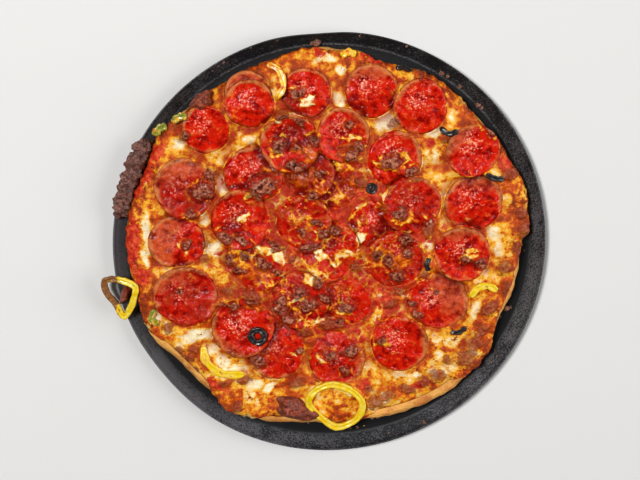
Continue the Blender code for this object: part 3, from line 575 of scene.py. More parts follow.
class Slice:
    """One slice: its place and its smooth surface, read from its CAD node."""

    def __init__(self, number):
        self.number = number
        self.name = f"pepperoni_{number:02d}"
        low, high = (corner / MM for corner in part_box(self.name))
        self.x = (low.x + high.x) / 2.0
        self.y = (low.y + high.y) / 2.0
        self.radius = (high.x - low.x + high.y - low.y) / 4.0
        tree = node_tree(self.name)
        rows, heights = [], []
        for share in (0.0, 0.3, 0.55, 0.75, 0.9):
            for turn in np.linspace(0.0, 2.0 * math.pi, 16, endpoint=False):
                x = self.x + self.radius * share * math.cos(turn)
                y = self.y + self.radius * share * math.sin(turn)
                height = felt_height(tree, x, y)
                if height is not None:
                    lip = float(np.interp(share, (0.43, 0.8, 0.97), (0.0, 0.08, 0.8)))
                    rows.append(self.terms(np.float64(x), np.float64(y)))
                    heights.append(height - lip)
        self.bend = np.linalg.lstsq(np.array(rows), np.array(heights), rcond=None)[0]
        self.lift = None

    def terms(self, x, y):
        """The powers of a place in the slice, up to the third, that its surface is made of."""
        u = np.clip((x - self.x) / self.radius, -1.15, 1.15)
        v = np.clip((y - self.y) / self.radius, -1.15, 1.15)
        return np.stack([u * 0 + 1, u, v, u * u, u * v, v * v, u ** 3, u * u * v, u * v * v, v ** 3], -1)

    def level(self, x, y):
        """The height of the slice's smooth surface."""
        return self.terms(x, y) @ self.bend

    def edge(self, turn):
        """The radius of the slice's uneven outline in a direction."""
        return self.radius * (0.985 + 0.025 * np.sin(2.0 * turn + self.number)
                              + 0.015 * np.sin(3.0 * turn + 2 * self.number)
                              + 0.006 * np.sin(7.0 * turn + 3 * self.number))

    def share(self, x, y):
        """0 in the middle of the slice and 1 on its outline."""
        turn = np.arctan2(y - self.y, x - self.x)
        return np.hypot(x - self.x, y - self.y) / self.edge(turn)


class Terrain:
    """The slices and the cheese between them as maps with one cell for each millimetre."""

    def __init__(self):
        steps = np.arange(-MAP_REACH, MAP_REACH + 1, dtype=float)
        self.x, self.y = np.meshgrid(steps, steps, indexing="ij")
        self.slices = [Slice(number + 1) for number in range(len(SLICE_LOOKS))]
        self.lowest = np.full_like(self.x, np.nan)
        self.top = np.full_like(self.x, -100.0)
        for piece in self.slices:
            share = piece.share(self.x, self.y)
            level = piece.level(self.x, self.y)
            short = np.maximum(self.top + SLICE_STEP - level, 0.0)
            piece.lift = self.blur(np.where(share < 1.1, short, 0.0), 1.0)
            under = share < 1.0
            level = level + piece.lift
            self.lowest = np.where(under & np.isnan(self.lowest), level, self.lowest)
            self.top = np.where(under, np.maximum(self.top, level), self.top)
        self.covered = ~np.isnan(self.lowest)
        self.stain = self.blur(self.covered.astype(float), 1.6)
        self.cheese = self.spread_cheese()
        form = np.where(self.covered, self.top + SLICE_STEP, self.cheese)
        form += large_relief(self.x, self.y) + blister_fields(self.x, self.y)[1]
        # How far each place lies below its surroundings, which sets the painted shade in hollows and crevices
        self.hollow = 0.6 * (self.blur(form, 2.5) - form) + 0.5 * (self.blur(form, 6.0) - form)

    def spread_cheese(self):
        """Cheese that meets every slice a little under its top and sinks to its own level between."""
        reach = np.hypot(self.x, self.y)
        angle = np.degrees(np.arctan2(self.y, self.x)) % 360.0
        crest = crest_reach(angle)
        rise = easy(reach, crest - CHEESE_DISH_EDGE, crest)
        level = CHEESE_MIDDLE + (CHEESE_CREST - CHEESE_MIDDLE) * rise
        known = self.covered | (reach > crest - 1.0)
        height = np.where(self.covered, np.nan_to_num(self.lowest) - SLICE_EMBED, level)
        for name, points, width, tall, _ in STRIPS + RINGS[:1]:
            tree = node_tree(name)
            near = self.near_line(smooth_line(points, name.endswith("front")), width * 0.5) & ~known
            for i, j in zip(*np.nonzero(near)):
                felt = felt_height(tree, self.x[i, j], self.y[i, j])
                if felt is not None:
                    height[i, j] = felt - 0.6 * tall
                    known[i, j] = True
        pull = 1.0 / SPREAD_REACH ** 2
        for _ in range(SPREAD_ROUNDS):
            beside = (np.roll(height, 1, 0) + np.roll(height, -1, 0)
                      + np.roll(height, 1, 1) + np.roll(height, -1, 1))
            height = np.where(known, height, (beside + pull * level) / (4.0 + pull))
        return height

    def near_line(self, line, reach):
        """The cells that lie within reach of a line."""
        near = np.zeros_like(self.covered)
        for x, y in line:
            near |= np.hypot(self.x - x, self.y - y) < reach
        return near

    def blur(self, field, width):
        """The field smoothed over about width cells."""
        reach = int(3 * width)
        weights = np.exp(-0.5 * (np.arange(-reach, reach + 1) / width) ** 2)
        weights /= weights.sum()
        for axis in (0, 1):
            field = sum(weight * np.roll(field, step - reach, axis) for step, weight in enumerate(weights))
        return field

    def read(self, field, x, y):
        """A map's value at any places."""
        across = np.clip(x + MAP_REACH, 0, 2 * MAP_REACH - 1.001)
        along = np.clip(y + MAP_REACH, 0, 2 * MAP_REACH - 1.001)
        i, j = across.astype(int), along.astype(int)
        return four_cells(field, i, j, across - i, along - j)


def smooth_line(points, closed, between=8):
    """More points on an easy curve through the given ones."""
    count = len(points)
    points = np.array(points, float)
    line = []
    for k in range(count if closed else count - 1):
        steps = range(k - 1, k + 3)
        picks = [points[j % count] if closed else points[min(max(j, 0), count - 1)] for j in steps]
        line += [curve(*picks, part) for part in np.arange(between) / between]
    return np.array(line if closed else [*line, points[-1]])


@cache
def terrain():
    """The maps, worked out once."""
    return Terrain()


# Modelling by hand

def drop_selection():
    """Leave edit mode with nothing selected, so that an operator works on the new piece alone."""
    if bpy.context.mode != "OBJECT":
        bpy.ops.object.mode_set(mode="OBJECT")
    bpy.ops.object.select_all(action="DESELECT")


def take(piece):
    """Make a piece the only selected and active one."""
    drop_selection()
    piece.select_set(True)
    bpy.context.view_layer.objects.active = piece


def named(name):
    """The piece that has just been added, under its own name."""
    piece = bpy.context.active_object
    piece.name = piece.data.name = name
    return piece


def edit(piece, action="SELECT"):
    """Open a piece's mesh with all of it selected, or none."""
    take(piece)
    bpy.ops.object.mode_set(mode="EDIT")
    bpy.ops.mesh.select_all(action=action)


def seal(piece):
    """Weld the points that meet and turn every face outward."""
    edit(piece)
    bpy.ops.mesh.remove_doubles(threshold=WELD)
    bpy.ops.mesh.normals_make_consistent(inside=False)
    bpy.ops.object.mode_set(mode="OBJECT")


def add_disc(name, sectors, cuts):
    """A flat round sheet of radius one: a fan of triangles, subdivided evenly."""
    drop_selection()
    bpy.ops.mesh.primitive_circle_add(vertices=sectors, radius=1.0, fill_type="TRIFAN")
    disc = named(name)
    edit(disc)
    for cut in cuts:
        bpy.ops.mesh.subdivide(number_cuts=cut - 1)
    bpy.ops.object.mode_set(mode="OBJECT")
    return disc


def read_points(piece):
    points = np.empty(len(piece.data.vertices) * 3)
    piece.data.vertices.foreach_get("co", points)
    return points.reshape(-1, 3)


def move_points(piece, x, y, z):
    """Put a piece's points at places given in millimetres."""
    points = np.stack([x, y, z], -1) * MM
    piece.data.vertices.foreach_set("co", points.ravel())
    piece.data.update()


def disc_places(disc, sectors):
    """For each point of a disc, its share of the way out to the rim and its angle in degrees."""
    points = read_points(disc)
    turn = np.arctan2(points[:, 1], points[:, 0])
    sector = 2.0 * math.pi / sectors
    inside = (turn - math.pi / 2.0) % sector - sector / 2.0
    rim = math.cos(sector / 2.0) / np.cos(inside)
    return np.clip(np.hypot(points[:, 0], points[:, 1]) / rim, 0.0, 1.0), np.degrees(turn) % 360.0


def close_underside(piece, drop, share, floor):
    """Turn the open rim down by drop and in by share, and close it to a middle point on the floor."""
    middle = Vector(read_points(piece).mean(axis=0))
    edit(piece, "DESELECT")
    bpy.ops.mesh.select_mode(type="EDGE")
    bpy.ops.mesh.select_non_manifold()
    bpy.ops.mesh.extrude_edges_move(TRANSFORM_OT_translate={"value": (0.0, 0.0, -drop * MM)})
    bpy.ops.transform.resize(value=(share, share, 1.0), center_override=middle)
    bpy.ops.mesh.extrude_edges_move()
    bpy.ops.mesh.merge(type="CENTER")
    bpy.ops.object.mode_set(mode="OBJECT")
    for vertex in piece.data.vertices:
        if vertex.select:
            vertex.co.z = floor * MM
    edit(piece)
    bpy.ops.mesh.normals_make_consistent(inside=False)
    bpy.ops.object.mode_set(mode="OBJECT")


def thicken(piece, thickness):
    """Give a sheet an underside at a fixed depth."""
    take(piece)
    bpy.ops.object.modifier_add(type="SOLIDIFY")
    shell = piece.modifiers[-1]
    shell.thickness = thickness * MM
    shell.offset = -1.0
    bpy.ops.object.modifier_apply(modifier=shell.name)


def add_tube(name, line, section, closed):
    """A band swept along a line; section gives its side and height offsets at each point."""
    drop_selection()
    bpy.ops.mesh.primitive_grid_add(x_subdivisions=2 * len(line), y_subdivisions=STRIP_STEPS, size=2.0)
    tube = named(name)
    share, turn, _ = ((read_points(tube) + 1.0) * (0.5, math.pi, 1.0)).T
    path = np.vstack([line, line[:1]]) if closed else line
    steps = np.linspace(0.0, 1.0, len(path))
    x, y, z = (np.interp(share, steps, path[:, k]) for k in range(3))
    ahead = np.gradient(path, axis=0)
    if closed:
        ahead[0] = ahead[-1] = path[1] - path[-2]
    ahead /= np.linalg.norm(ahead[:, :2], axis=1)[:, None]
    side_x = np.interp(share, steps, -ahead[:, 1])
    side_y = np.interp(share, steps, ahead[:, 0])
    out, up = section(share, turn)
    move_points(tube, x + side_x * out, y + side_y * out, z + up)
    seal(tube)
    return tube


def roughen(piece, size, height, seed):
    """Push every point in or out along its normal by a smooth random amount."""
    points = read_points(piece)
    normals = np.empty(len(points) * 3)
    piece.data.vertices.foreach_get("normal", normals)
    shift = Vector((seed * 3.1, seed * 1.7, seed * 2.3))
    rise = np.array([noise.noise(Vector(point) / (size * MM) + shift) for point in points])
    points += normals.reshape(-1, 3) * rise[:, None] * height * MM * 2.0
    piece.data.vertices.foreach_set("co", points.ravel())
    piece.data.update()


def paint(piece, **layers):
    """Keep numbers for each point, for the piece's material to read."""
    for name, values in layers.items():
        layer = piece.data.attributes.new(name, "FLOAT", "POINT")
        layer.data.foreach_set("value", np.asarray(values, dtype=np.float32))


def finish(piece, material, slot, *nodes):
    """Give a piece its material and its body, and hide the solids that it stands for."""
    take(piece)
    bpy.ops.object.shade_smooth()
    piece.data.materials.clear()
    piece.data.materials.append(material)
    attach(piece, BODY)
    if nodes:
        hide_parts(*nodes)


# Materials

def darker(colour, share):
    return tuple(part * share for part in colour)


def mixed(first, second):
    return tuple((a + b) / 2.0 for a, b in zip(first, second))


def fill(tree, node, inputs):
    """Fill a node's sockets with links, colours or numbers."""
    for key, value in inputs.items():
        socket = node.inputs[key]
        if isinstance(value, bpy.types.NodeSocket):
            tree.links.new(value, socket)
        else:
            socket.default_value = (*value, 1.0) if socket.type == "RGBA" else value


class Weave:
    """Adds nodes to one tree; each method but put gives the socket that holds the result."""

    def __init__(self, tree, vector=None):
        self.tree = tree
        self.vector = self.put("ShaderNodeTexCoord").outputs["Object"] if vector is None else vector

    def put(self, kind, inputs=None, **settings):
        """Add a node, set what it has to set, and fill its sockets."""
        node = self.tree.nodes.new(kind)
        for key, value in settings.items():
            setattr(node, key, value)
        fill(self.tree, node, inputs or {})
        return node

    def grain(self, size, detail=3.0, roughness=0.55):
        """Cloudy noise whose spots are about size millimetres wide."""
        return self.put("ShaderNodeTexNoise", {"Vector": self.vector, "Scale": 1.0 / (size * MM),
                                               "Detail": detail, "Roughness": roughness}).outputs["Fac"]

    def attribute(self, name):
        return self.put("ShaderNodeAttribute", attribute_name=name).outputs["Fac"]

    def maths(self, first, second, operation="ADD"):
        return self.put("ShaderNodeMath", {0: first, 1: second}, operation=operation).outputs[0]

    def times(self, first, second):
        return self.maths(first, second, "MULTIPLY")

    def varied(self, value, *clouds):
        """A value or a named attribute, with clouds added round their middles, each by its amount."""
        if isinstance(value, str):
            value = self.attribute(value)
        for cloud, amount in clouds:
            value = self.maths(value, self.times(self.maths(cloud, -0.5), amount))
        return value

    def mask(self, value, low, high):
        """0 below low, 1 above high and an easy curve between."""
        return self.put("ShaderNodeMapRange", {"Value": value, "From Min": low, "From Max": high},
                        interpolation_type="SMOOTHSTEP").outputs["Result"]

    def ramp(self, value, *stops):
        """Colours at places from 0 to 1, with even shades between."""
        node = self.put("ShaderNodeValToRGB", {"Fac": value})
        line = node.color_ramp
        while len(line.elements) < len(stops):
            line.elements.new(0.5)
        for element, (place, colour) in zip(line.elements, stops):
            element.position = place
            element.color = (*colour, 1.0)
        return node.outputs["Color"]

    def between(self, share, low, high):
        """A number between two others."""
        return self.put("ShaderNodeMix", {"Factor": share, 2: low, 3: high}, data_type="FLOAT").outputs[0]

    def layered(self, share, below, above, most=1.0):
        """One colour laid over another, as far as most where share is 1."""
        if most < 1.0:
            share = self.between(share, 0.0, most)
        return self.put("ShaderNodeMix", {"Factor": share, 6: below, 7: above}, data_type="RGBA").outputs[2]

    def use(self, work, **inputs):
        """The outputs of a shared node group, by their names."""
        group = shared_group(work, *GROUP_SOCKETS[work.__name__])
        return self.put("ShaderNodeGroup", {"Vector": self.vector, **inputs}, node_tree=group).outputs


class Finish(Weave):
    """A new material and its nodes."""

    def __init__(self, name):
        self.material = bpy.data.materials.new(name)
        self.material.use_nodes = True
        super().__init__(self.material.node_tree)

    def shaded(self, inputs, height=None, depth=0.0, strength=0.0):
        """The material, with its shader filled; a height bends the light by its depth in millimetres."""
        if height is not None:
            inputs["Normal"] = self.put("ShaderNodeBump", {
                "Height": height, "Distance": depth * MM, "Strength": strength}).outputs["Normal"]
        fill(self.tree, self.tree.nodes["Principled BSDF"], inputs)
        return self.material


# The sockets of each node group: what goes in and what comes out
GROUP_SOCKETS = {
    "melted_cheese": (("Vector", "Tone", "Brown"), ("Color", "Height", "Roughness")),
    "baked_blister": (("Vector", "Cover"), ("Color", "Mask", "Height")),
    "lace": (("Vector",), ("Web",)),
    "crumbly": (("Vector", "Dark", "Light"), ("Color", "Height")),
}
SOCKET_KINDS = {"Vector": "Vector", "Color": "Color", "Dark": "Color", "Light": "Color"}


def shared_group(work, inputs, outputs):
    """A node group that is made once; work weaves its nodes and gives its results in order."""
    group = bpy.data.node_groups.get(work.__name__)
    if group is None:
        group = bpy.data.node_groups.new(work.__name__, "ShaderNodeTree")
        for side, titles in (("INPUT", inputs), ("OUTPUT", outputs)):
            for title in titles:
                kind = "NodeSocket" + SOCKET_KINDS.get(title, "Float")
                group.interface.new_socket(name=title, in_out=side, socket_type=kind)
        taken = group.nodes.new("NodeGroupInput").outputs
        results = work(Weave(group, taken["Vector"]), taken)
        fill(group, group.nodes.new("NodeGroupOutput"), dict(zip(outputs, results)))
    return group


def melted_cheese(n, taken):
    """Cheese from cream through yellow to orange, with browned spots."""
    look = bpy.context.scene.pizza_cheese
    clouds = n.grain(3.8)
    flecks = n.grain(1.3, 3.0, 0.6)
    tone = n.varied(taken["Tone"], (clouds, 1.2), (flecks, 0.4))
    colour = n.ramp(tone, (0.10, look.cream), (0.30, mixed(look.cream, look.yellow)), (0.5, look.yellow),
                    (0.76, look.orange), (1.0, darker(look.orange, 0.5)))
    baked = n.mask(n.varied(taken["Brown"], (clouds, 1.3), (flecks, 0.7)), 0.36, 0.62)
    colour = n.layered(baked, colour, n.ramp(flecks, (0.35, look.burnt), (0.6, look.brown)))
    return colour, n.maths(clouds, flecks), n.between(baked, 0.30, 0.55)


def baked_blister(n, taken):
    """A blister: a dark rim, and a top painted paler as highlight, with painted shade in its wrinkles'
    creases.
    """
    look = bpy.context.scene.pizza_cheese
    clouds = n.grain(3.0)
    wrinkles = n.grain(2.2, 1.5, 0.5)
    cover = n.varied(taken["Cover"], (clouds, 1.3), (wrinkles, 0.6))
    colour = n.ramp(cover, (0.2, darker(look.brown, 0.7)), (0.38, look.burnt), (0.62, look.blister),
                    (1.0, look.pale))
    # Painted shade in the wrinkles' creases and painted highlights on their ridges
    lit_wrinkles = n.ramp(wrinkles, (0.34, darker(look.burnt, 0.6)), (0.47, look.blister), (0.66, look.pale))
    return n.layered(n.mask(cover, 0.4, 0.8), colour, lit_wrinkles), n.mask(cover, 0.12, 0.72), wrinkles


def lace(n, taken):
    """A web of threads between bubbles: 1 on the threads and 0 inside the bubbles."""
    push = n.put("ShaderNodeTexNoise", {"Vector": n.vector, "Scale": 1.0 / (3.5 * MM), "Detail": 2.0})
    shift = n.put("ShaderNodeVectorMath", {0: push.outputs["Color"], 1: (0.0045, 0.0045, 0.0045)},
                  operation="MULTIPLY")
    spot = n.put("ShaderNodeVectorMath", {0: n.vector, 1: shift.outputs[0]})
    cells = n.put("ShaderNodeTexVoronoi", {"Vector": spot.outputs[0], "Scale": 1.0 / (6.5 * MM)},
                  feature="DISTANCE_TO_EDGE")
    return [n.maths(1.0, n.mask(cells.outputs["Distance"], 0.02, 0.26), "SUBTRACT")]


def crumbly(n, taken):
    """Burnt, crumbly stuff: two colours broken up at the size of crumbs."""
    clouds = n.grain(3.0, 4.0, 0.65)
    crumbs = n.grain(0.9, 2.0)
    share = n.mask(n.varied(clouds, (crumbs, 0.6)), 0.38, 0.68)
    return n.layered(share, taken["Dark"], taken["Light"]), n.maths(clouds, crumbs)


def pan_finish():
    """Seasoned black steel, faintly speckled, with painted light and shade on its wall and painted shade on
    its floor.
    """
    look = bpy.context.scene.pizza_pan
    n = Finish("pan_black")
    speckle = n.grain(1.2, 2.0, 0.7)
    stains = n.grain(14.0, 3.0, 0.5)
    # Painted light and shade: the wall is paler where the lamps light it and darker at the back, with a
    # painted highlight along the fold
    share = n.mask(n.maths(n.varied(stains, (speckle, 2.4)), n.attribute("rubbed")), 0.31, 1.01)
    colour = n.layered(share, look.metal, look.worn)
    # Painted shade: the flat floor of the pan is darkened, except along the fold's painted highlight
    colour = n.layered(n.mask(n.attribute("sooty"), 0.1, 0.9), colour, darker(look.metal, 0.25))
    return n.shaded({"Base Color": colour, "Roughness": n.between(share, 0.48, 0.62), "Metallic": 0.35},
                    speckle, 0.35, 0.7)


def crust_finish():
    """Baked dough, matt, with toasted patches and a few blisters."""
    look = bpy.context.scene.pizza_crust
    n = Finish("crust")
    clouds = n.grain(9.0, 5.0, 0.6)
    fine = n.grain(1.2, 3.0, 0.65)
    toast = n.varied("toast", (clouds, 1.9), (fine, 0.6))
    colour = n.layered(n.mask(toast, 0.0, 0.9), look.dough, look.toasted)
    colour = n.layered(n.mask(toast, 0.85, 1.15), colour, darker(look.toasted, 0.35))
    return n.shaded({"Base Color": colour, "Roughness": 0.62}, n.maths(clouds, fine), 1.4, 0.8)


def cheese_finish():
    """The whole melted top: cheese, red grease and baked blisters."""
    look = bpy.context.scene.pizza_cheese
    meat = bpy.context.scene.pizza_pepperoni
    n = Finish("cheese")
    base = n.use(melted_cheese, Tone=n.attribute("tone"), Brown=n.attribute("brown"))
    blister = n.use(baked_blister, Cover=n.attribute("blister"))
    clouds = n.grain(3.2)
    red = n.mask(n.varied("red", (clouds, 0.9), (n.use(lace)["Web"], -0.5)), 0.35, 0.75)
    greasy = n.ramp(clouds, (0.33, darker(meat.red, 0.55)), (0.47, look.grease), (0.66, look.thin_grease))
    colour = n.layered(red, base["Color"], greasy)
    # Painted shade: red brown darkening where the cheese lies low, beside the slices and in hollows
    shade = mixed(darker(meat.red, 0.85), darker(look.brown, 0.5))
    colour = n.layered(n.mask(n.attribute("hollow"), 0.1, 1.3), colour, shade, 0.75)
    colour = n.layered(blister["Mask"], colour, n.layered(0.5, blister["Color"], look.brown), 0.85)
    bumps = n.maths(base["Height"], n.times(blister["Height"], blister["Mask"]))
    return n.shaded({"Base Color": colour, "Roughness": base["Roughness"], "Specular IOR Level": 0.24},
                    bumps, 1.2, 0.8)


def pepperoni_finish():
    """Oily mottled red meat with a dry rim, melted cheese and blisters over it."""
    look = bpy.context.scene.pizza_pepperoni
    n = Finish("pepperoni")
    clouds = n.grain(8.0, 3.0)
    mottle = n.grain(3.6, 2.0, 0.5)
    flecks = n.grain(1.5, 2.0)
    shade = n.varied(mottle, (clouds, 1.1), (flecks, 0.2))
    colour = n.ramp(shade, (0.14, darker(look.dark, 0.75)), (0.29, look.dark), (0.48, look.red),
                    (0.62, look.red), (0.84, look.bright))
    # Painted highlights: pale flecks gathered on the side of each slice that faces the lamps
    fat = n.mask(n.varied("gloss", (flecks, 2.8), (mottle, 1.2)), 0.5, 1.15)
    colour = n.layered(fat, colour, look.fat, 0.86)
    dull = n.mask(n.varied("dull", (clouds, 1.8)), 0.2, 1.1)
    colour = n.layered(dull, colour, n.ramp(shade, (0.3, darker(look.dull, 0.35)), (0.65, look.dull)))
    dry = n.mask(n.varied("dry", (clouds, 1.4), (mottle, 0.9)), 0.2, 0.95)
    dry = n.between(dry, 0.0, 0.85)
    edge = n.mask(n.varied("edge", (clouds, 0.8)), 0.35, 0.9)
    baked = n.layered(edge, n.ramp(shade, (0.28, darker(look.dry, 0.42)), (0.62, look.dry)),
                      n.ramp(shade, (0.28, darker(look.tan, 0.5)), (0.62, look.tan)))
    colour = n.layered(dry, colour, baked)
    # Painted shade: a dark line round the rims of the outer slices, where their edges meet the cheese
    rim = n.mask(n.varied("rim", (mottle, 1.2)), 0.4, 1.1)
    colour = n.layered(rim, colour, darker(look.dull, 0.5), 0.5)
    # Painted shade: darker red where the slice lies lower than what is round it
    hollow = n.mask(n.attribute("hollow"), 0.0, 1.1)
    colour = n.layered(hollow, colour, darker(look.dark, 0.4), 0.85)
    melting = n.varied("melt", (mottle, 0.6), (flecks, 0.3), (n.use(lace)["Web"], 0.55))
    thin = n.times(n.maths(1.0, melting, "SUBTRACT"), 0.5)
    tone = n.maths(n.maths(n.attribute("tone"), -0.06), n.maths(thin, 0.0, "MAXIMUM"))
    melt = n.between(n.mask(melting, 0.2, 0.85), 0.0, 0.96)
    colour = n.layered(melt, colour, n.use(melted_cheese, Tone=tone, Brown=0.15)["Color"])
    blister = n.use(baked_blister, Cover=n.attribute("blister"))
    colour = n.layered(blister["Mask"], colour, blister["Color"])
    wet = n.between(clouds, 0.04, 0.22)
    bumps = n.maths(n.maths(mottle, n.times(flecks, 0.3)), n.times(melt, 0.35))
    bumps = n.maths(bumps, n.times(blister["Height"], blister["Mask"]))
    return n.shaded({"Base Color": colour, "Roughness": n.between(dry, wet, 0.36),
                     "Specular IOR Level": 0.24}, bumps, 1.5, 0.8)


def pepper_finish(name, flesh, pale):
    """Pickled pepper: glossy, with paler, wetter flesh in uneven patches, partly under cheese."""
    look = bpy.context.scene.pizza_toppings
    n = Finish(name)
    clouds = n.grain(4.0, 3.0)
    fine = n.grain(0.9, 2.0)
    colour = n.layered(n.mask(n.varied(clouds, (fine, 0.3)), 0.42, 0.68), flesh, pale)
    colour = n.layered(n.mask(fine, 0.68, 0.78), colour, darker(flesh, 0.45))
    hidden = n.mask(n.varied("hidden", (clouds, 1.3)), 0.35, 0.65)
    colour = n.layered(hidden, colour, n.use(melted_cheese, Tone=0.55, Brown=0.2)["Color"])
    scorched = n.mask(n.varied("scorched", (clouds, 2.4)), 0.4, 0.8)
    colour = n.layered(scorched, colour, n.ramp(fine, (0.35, look.scorched), (0.62, look.toasted)), 0.95)
    return n.shaded({"Base Color": colour, "Roughness": n.between(scorched, 0.32, 0.6),
                     "Coat Weight": n.between(scorched, 0.35, 0.05), "Coat Roughness": 0.1,
                     "Subsurface Weight": 0.1, "Subsurface Scale": 0.002}, n.maths(clouds, fine), 0.3, 0.5)


def olive_finish():
    """Black olive, wet, with faint purple brown where it is cut."""
    look = bpy.context.scene.pizza_toppings
    n = Finish("black_olive")
    clouds = n.grain(2.0, 3.0)
    colour = n.layered(n.mask(clouds, 0.5, 0.75), look.olive, look.olive_cut)
    return n.shaded({"Base Color": colour, "Roughness": n.between(clouds, 0.25, 0.5), "Coat Weight": 0.3},
                    n.grain(0.7), 0.2, 0.5)


def burnt_finish(name, light, share_of_dark, roughness):
    """Burnt or browned crumbly stuff."""
    n = Finish(name)
    crumbs = n.use(crumbly, Dark=darker(light, share_of_dark), Light=light)
    return n.shaded({"Base Color": crumbs["Color"], "Roughness": roughness}, crumbs["Height"], 0.5, 0.9)


# The pieces

class PIZZA_OT_pan(bpy.types.Operator):
    """Turn the pan's flat floor, fold, flared wall and rounded lip"""

    bl_idname = "pizza.pan"
    bl_label = "Pan"

    def execute(self, context):
        fold = PAN_FOLD
        profile = [(share * fold, PAN_METAL) for share in (0.0, 0.3, 0.6, 0.85, 0.97)]
        profile += [(fold + out, PAN_METAL + up) for out, up in ((-0.9, 0.02), (-0.2, 0.15), (0.5, 0.45))]
        for share in (0.14, 0.3, 0.5, 0.7, 0.83):
            out = share * PAN_WALL_WIDTH
            profile.append((fold + out, PAN_METAL + PAN_SLOPE * out))
        for inward, down in ((1.2, 0.35), (0.8, 0.05), (0.45, 0.0), (0.1, 0.15), (0.0, 0.45), (0.1, 0.95)):
            profile.append((PAN_RADIUS - inward, PAN_HEIGHT - down))
        for share in (0.75, 0.5, 0.28):
            out = 1.9 + share * (PAN_WALL_WIDTH - 2.0)
            profile.append((fold + out, 0.7 + (PAN_HEIGHT - 1.9) * share))
        profile += [(fold + 1.9, 0.62), (fold + 1.2, 0.2), (fold + 0.4, 0.0)]
        profile += [(share * fold, 0.0) for share in (0.95, 0.6, 0.0)]
        mesh = bpy.data.meshes.new("pan_turned")
        mesh.from_pydata([(reach * MM, 0.0, height * MM) for reach, height in profile],
                         [(k, k + 1) for k in range(len(profile) - 1)], [])
        pan = bpy.data.objects.new("pan_turned", mesh)
        context.scene.collection.objects.link(pan)
        edit(pan)
        bpy.ops.mesh.spin(steps=context.scene.pizza_pan.turns, angle=2.0 * math.pi,
                          center=(0.0, 0.0, 0.0), axis=(0.0, 0.0, 1.0))
        bpy.ops.object.mode_set(mode="OBJECT")
        seal(pan)
        x, y, z = (read_points(pan) / MM).T
        reach = np.hypot(x, y)
        angle = np.degrees(np.arctan2(y, x))
        # Bend the rim a little, as a used pan's is
        up_wall = easy(reach, fold, PAN_RADIUS)
        moved = reach.copy()
        for middle, half, depth in PAN_DENTS:
            away = (angle - middle + 180.0) % 360.0 - 180.0
            moved -= depth * up_wall * np.exp(-(away / half) ** 2)
        share = np.where(reach > 0.001, moved / np.maximum(reach, 0.001), 1.0)
        wave = 0.25 * up_wall * np.sin(np.radians(angle * 3.0 + 40.0))
        move_points(pan, x * share, y * share, z + wave * (z > 3.0))
        # Painted light and shade: the wall is painted paler at the left and the right, and darker at the back
        # and a little at the front;
        # a painted highlight runs along the fold at the back, and the flat floor is painted dark as shade
        up_wall = easy(reach, fold - 2.0, fold + 3.0)
        side, back = np.cos(np.radians(angle - 8.0)), np.sin(np.radians(angle))
        right, left, far, near = (np.maximum(way, 0.0) for way in (side, -side, back, -back))
        fold_highlight = 0.45 * far * np.exp(-((reach - fold - 0.2) / 0.7) ** 2)
        rubbed = 0.22 * right + 0.62 * left - 0.26 * far - 0.08 * near
        paint(pan, rubbed=up_wall * rubbed + fold_highlight, sooty=1.0 - up_wall - 2.0 * fold_highlight)
        finish(pan, pan_finish(), "pan_black", "pan")
        return {"FINISHED"}


class PIZZA_OT_crust(bpy.types.Operator):
    """Shape the dough: a dished disc with a bulging baked edge"""

    bl_idname = "pizza.crust"
    bl_label = "Crust"

    def execute(self, context):
        crust = add_disc("crust_baked", 6, CRUST_CUTS)
        share, angle = disc_places(crust, 6)
        place = np.interp(share, (0.0, 0.5, 0.94, 1.0), (0.0, 0.42, 1.0, 1.0))
        relief = context.scene.pizza_crust.relief / MM
        reach, height = skin(angle, place)
        x, y = polar(reach, angle)
        # Uneven where it is bare, and a little lower where cheese lies on it
        open_air = easy(place - cheese_end(angle), 0.0, 0.06)
        bumps = lumps(x + height, y - height, 8.0, 31) + 0.5 * lumps(x - height, y + height, 3.0, 32)
        lift = relief * bumps * open_air - 0.25 * (1.0 - open_air) * (place > 0.45)
        reach, height = lifted_skin(angle, place, lift)
        tucked = easy(share, 0.94, 1.0)
        height = np.where(tucked > 0.0, CRUST_FOOT + 0.1 * (1.0 - tucked), height)
        move_points(crust, *polar(reach - 6.0 * tucked, angle), height)
        close_underside(crust, 0.0, 0.9, CRUST_FOOT)
        x, y, z = (read_points(crust) / MM).T
        toast = 0.8 * easy(-z, -6.0, -1.5) + 0.35 * lumps(x, y, 12.0, 33)
        paint(crust, toast=toast + 0.3 * easy(z, 9.0, 14.0))
        finish(crust, crust_finish(), "crust", "crust")
        return {"FINISHED"}


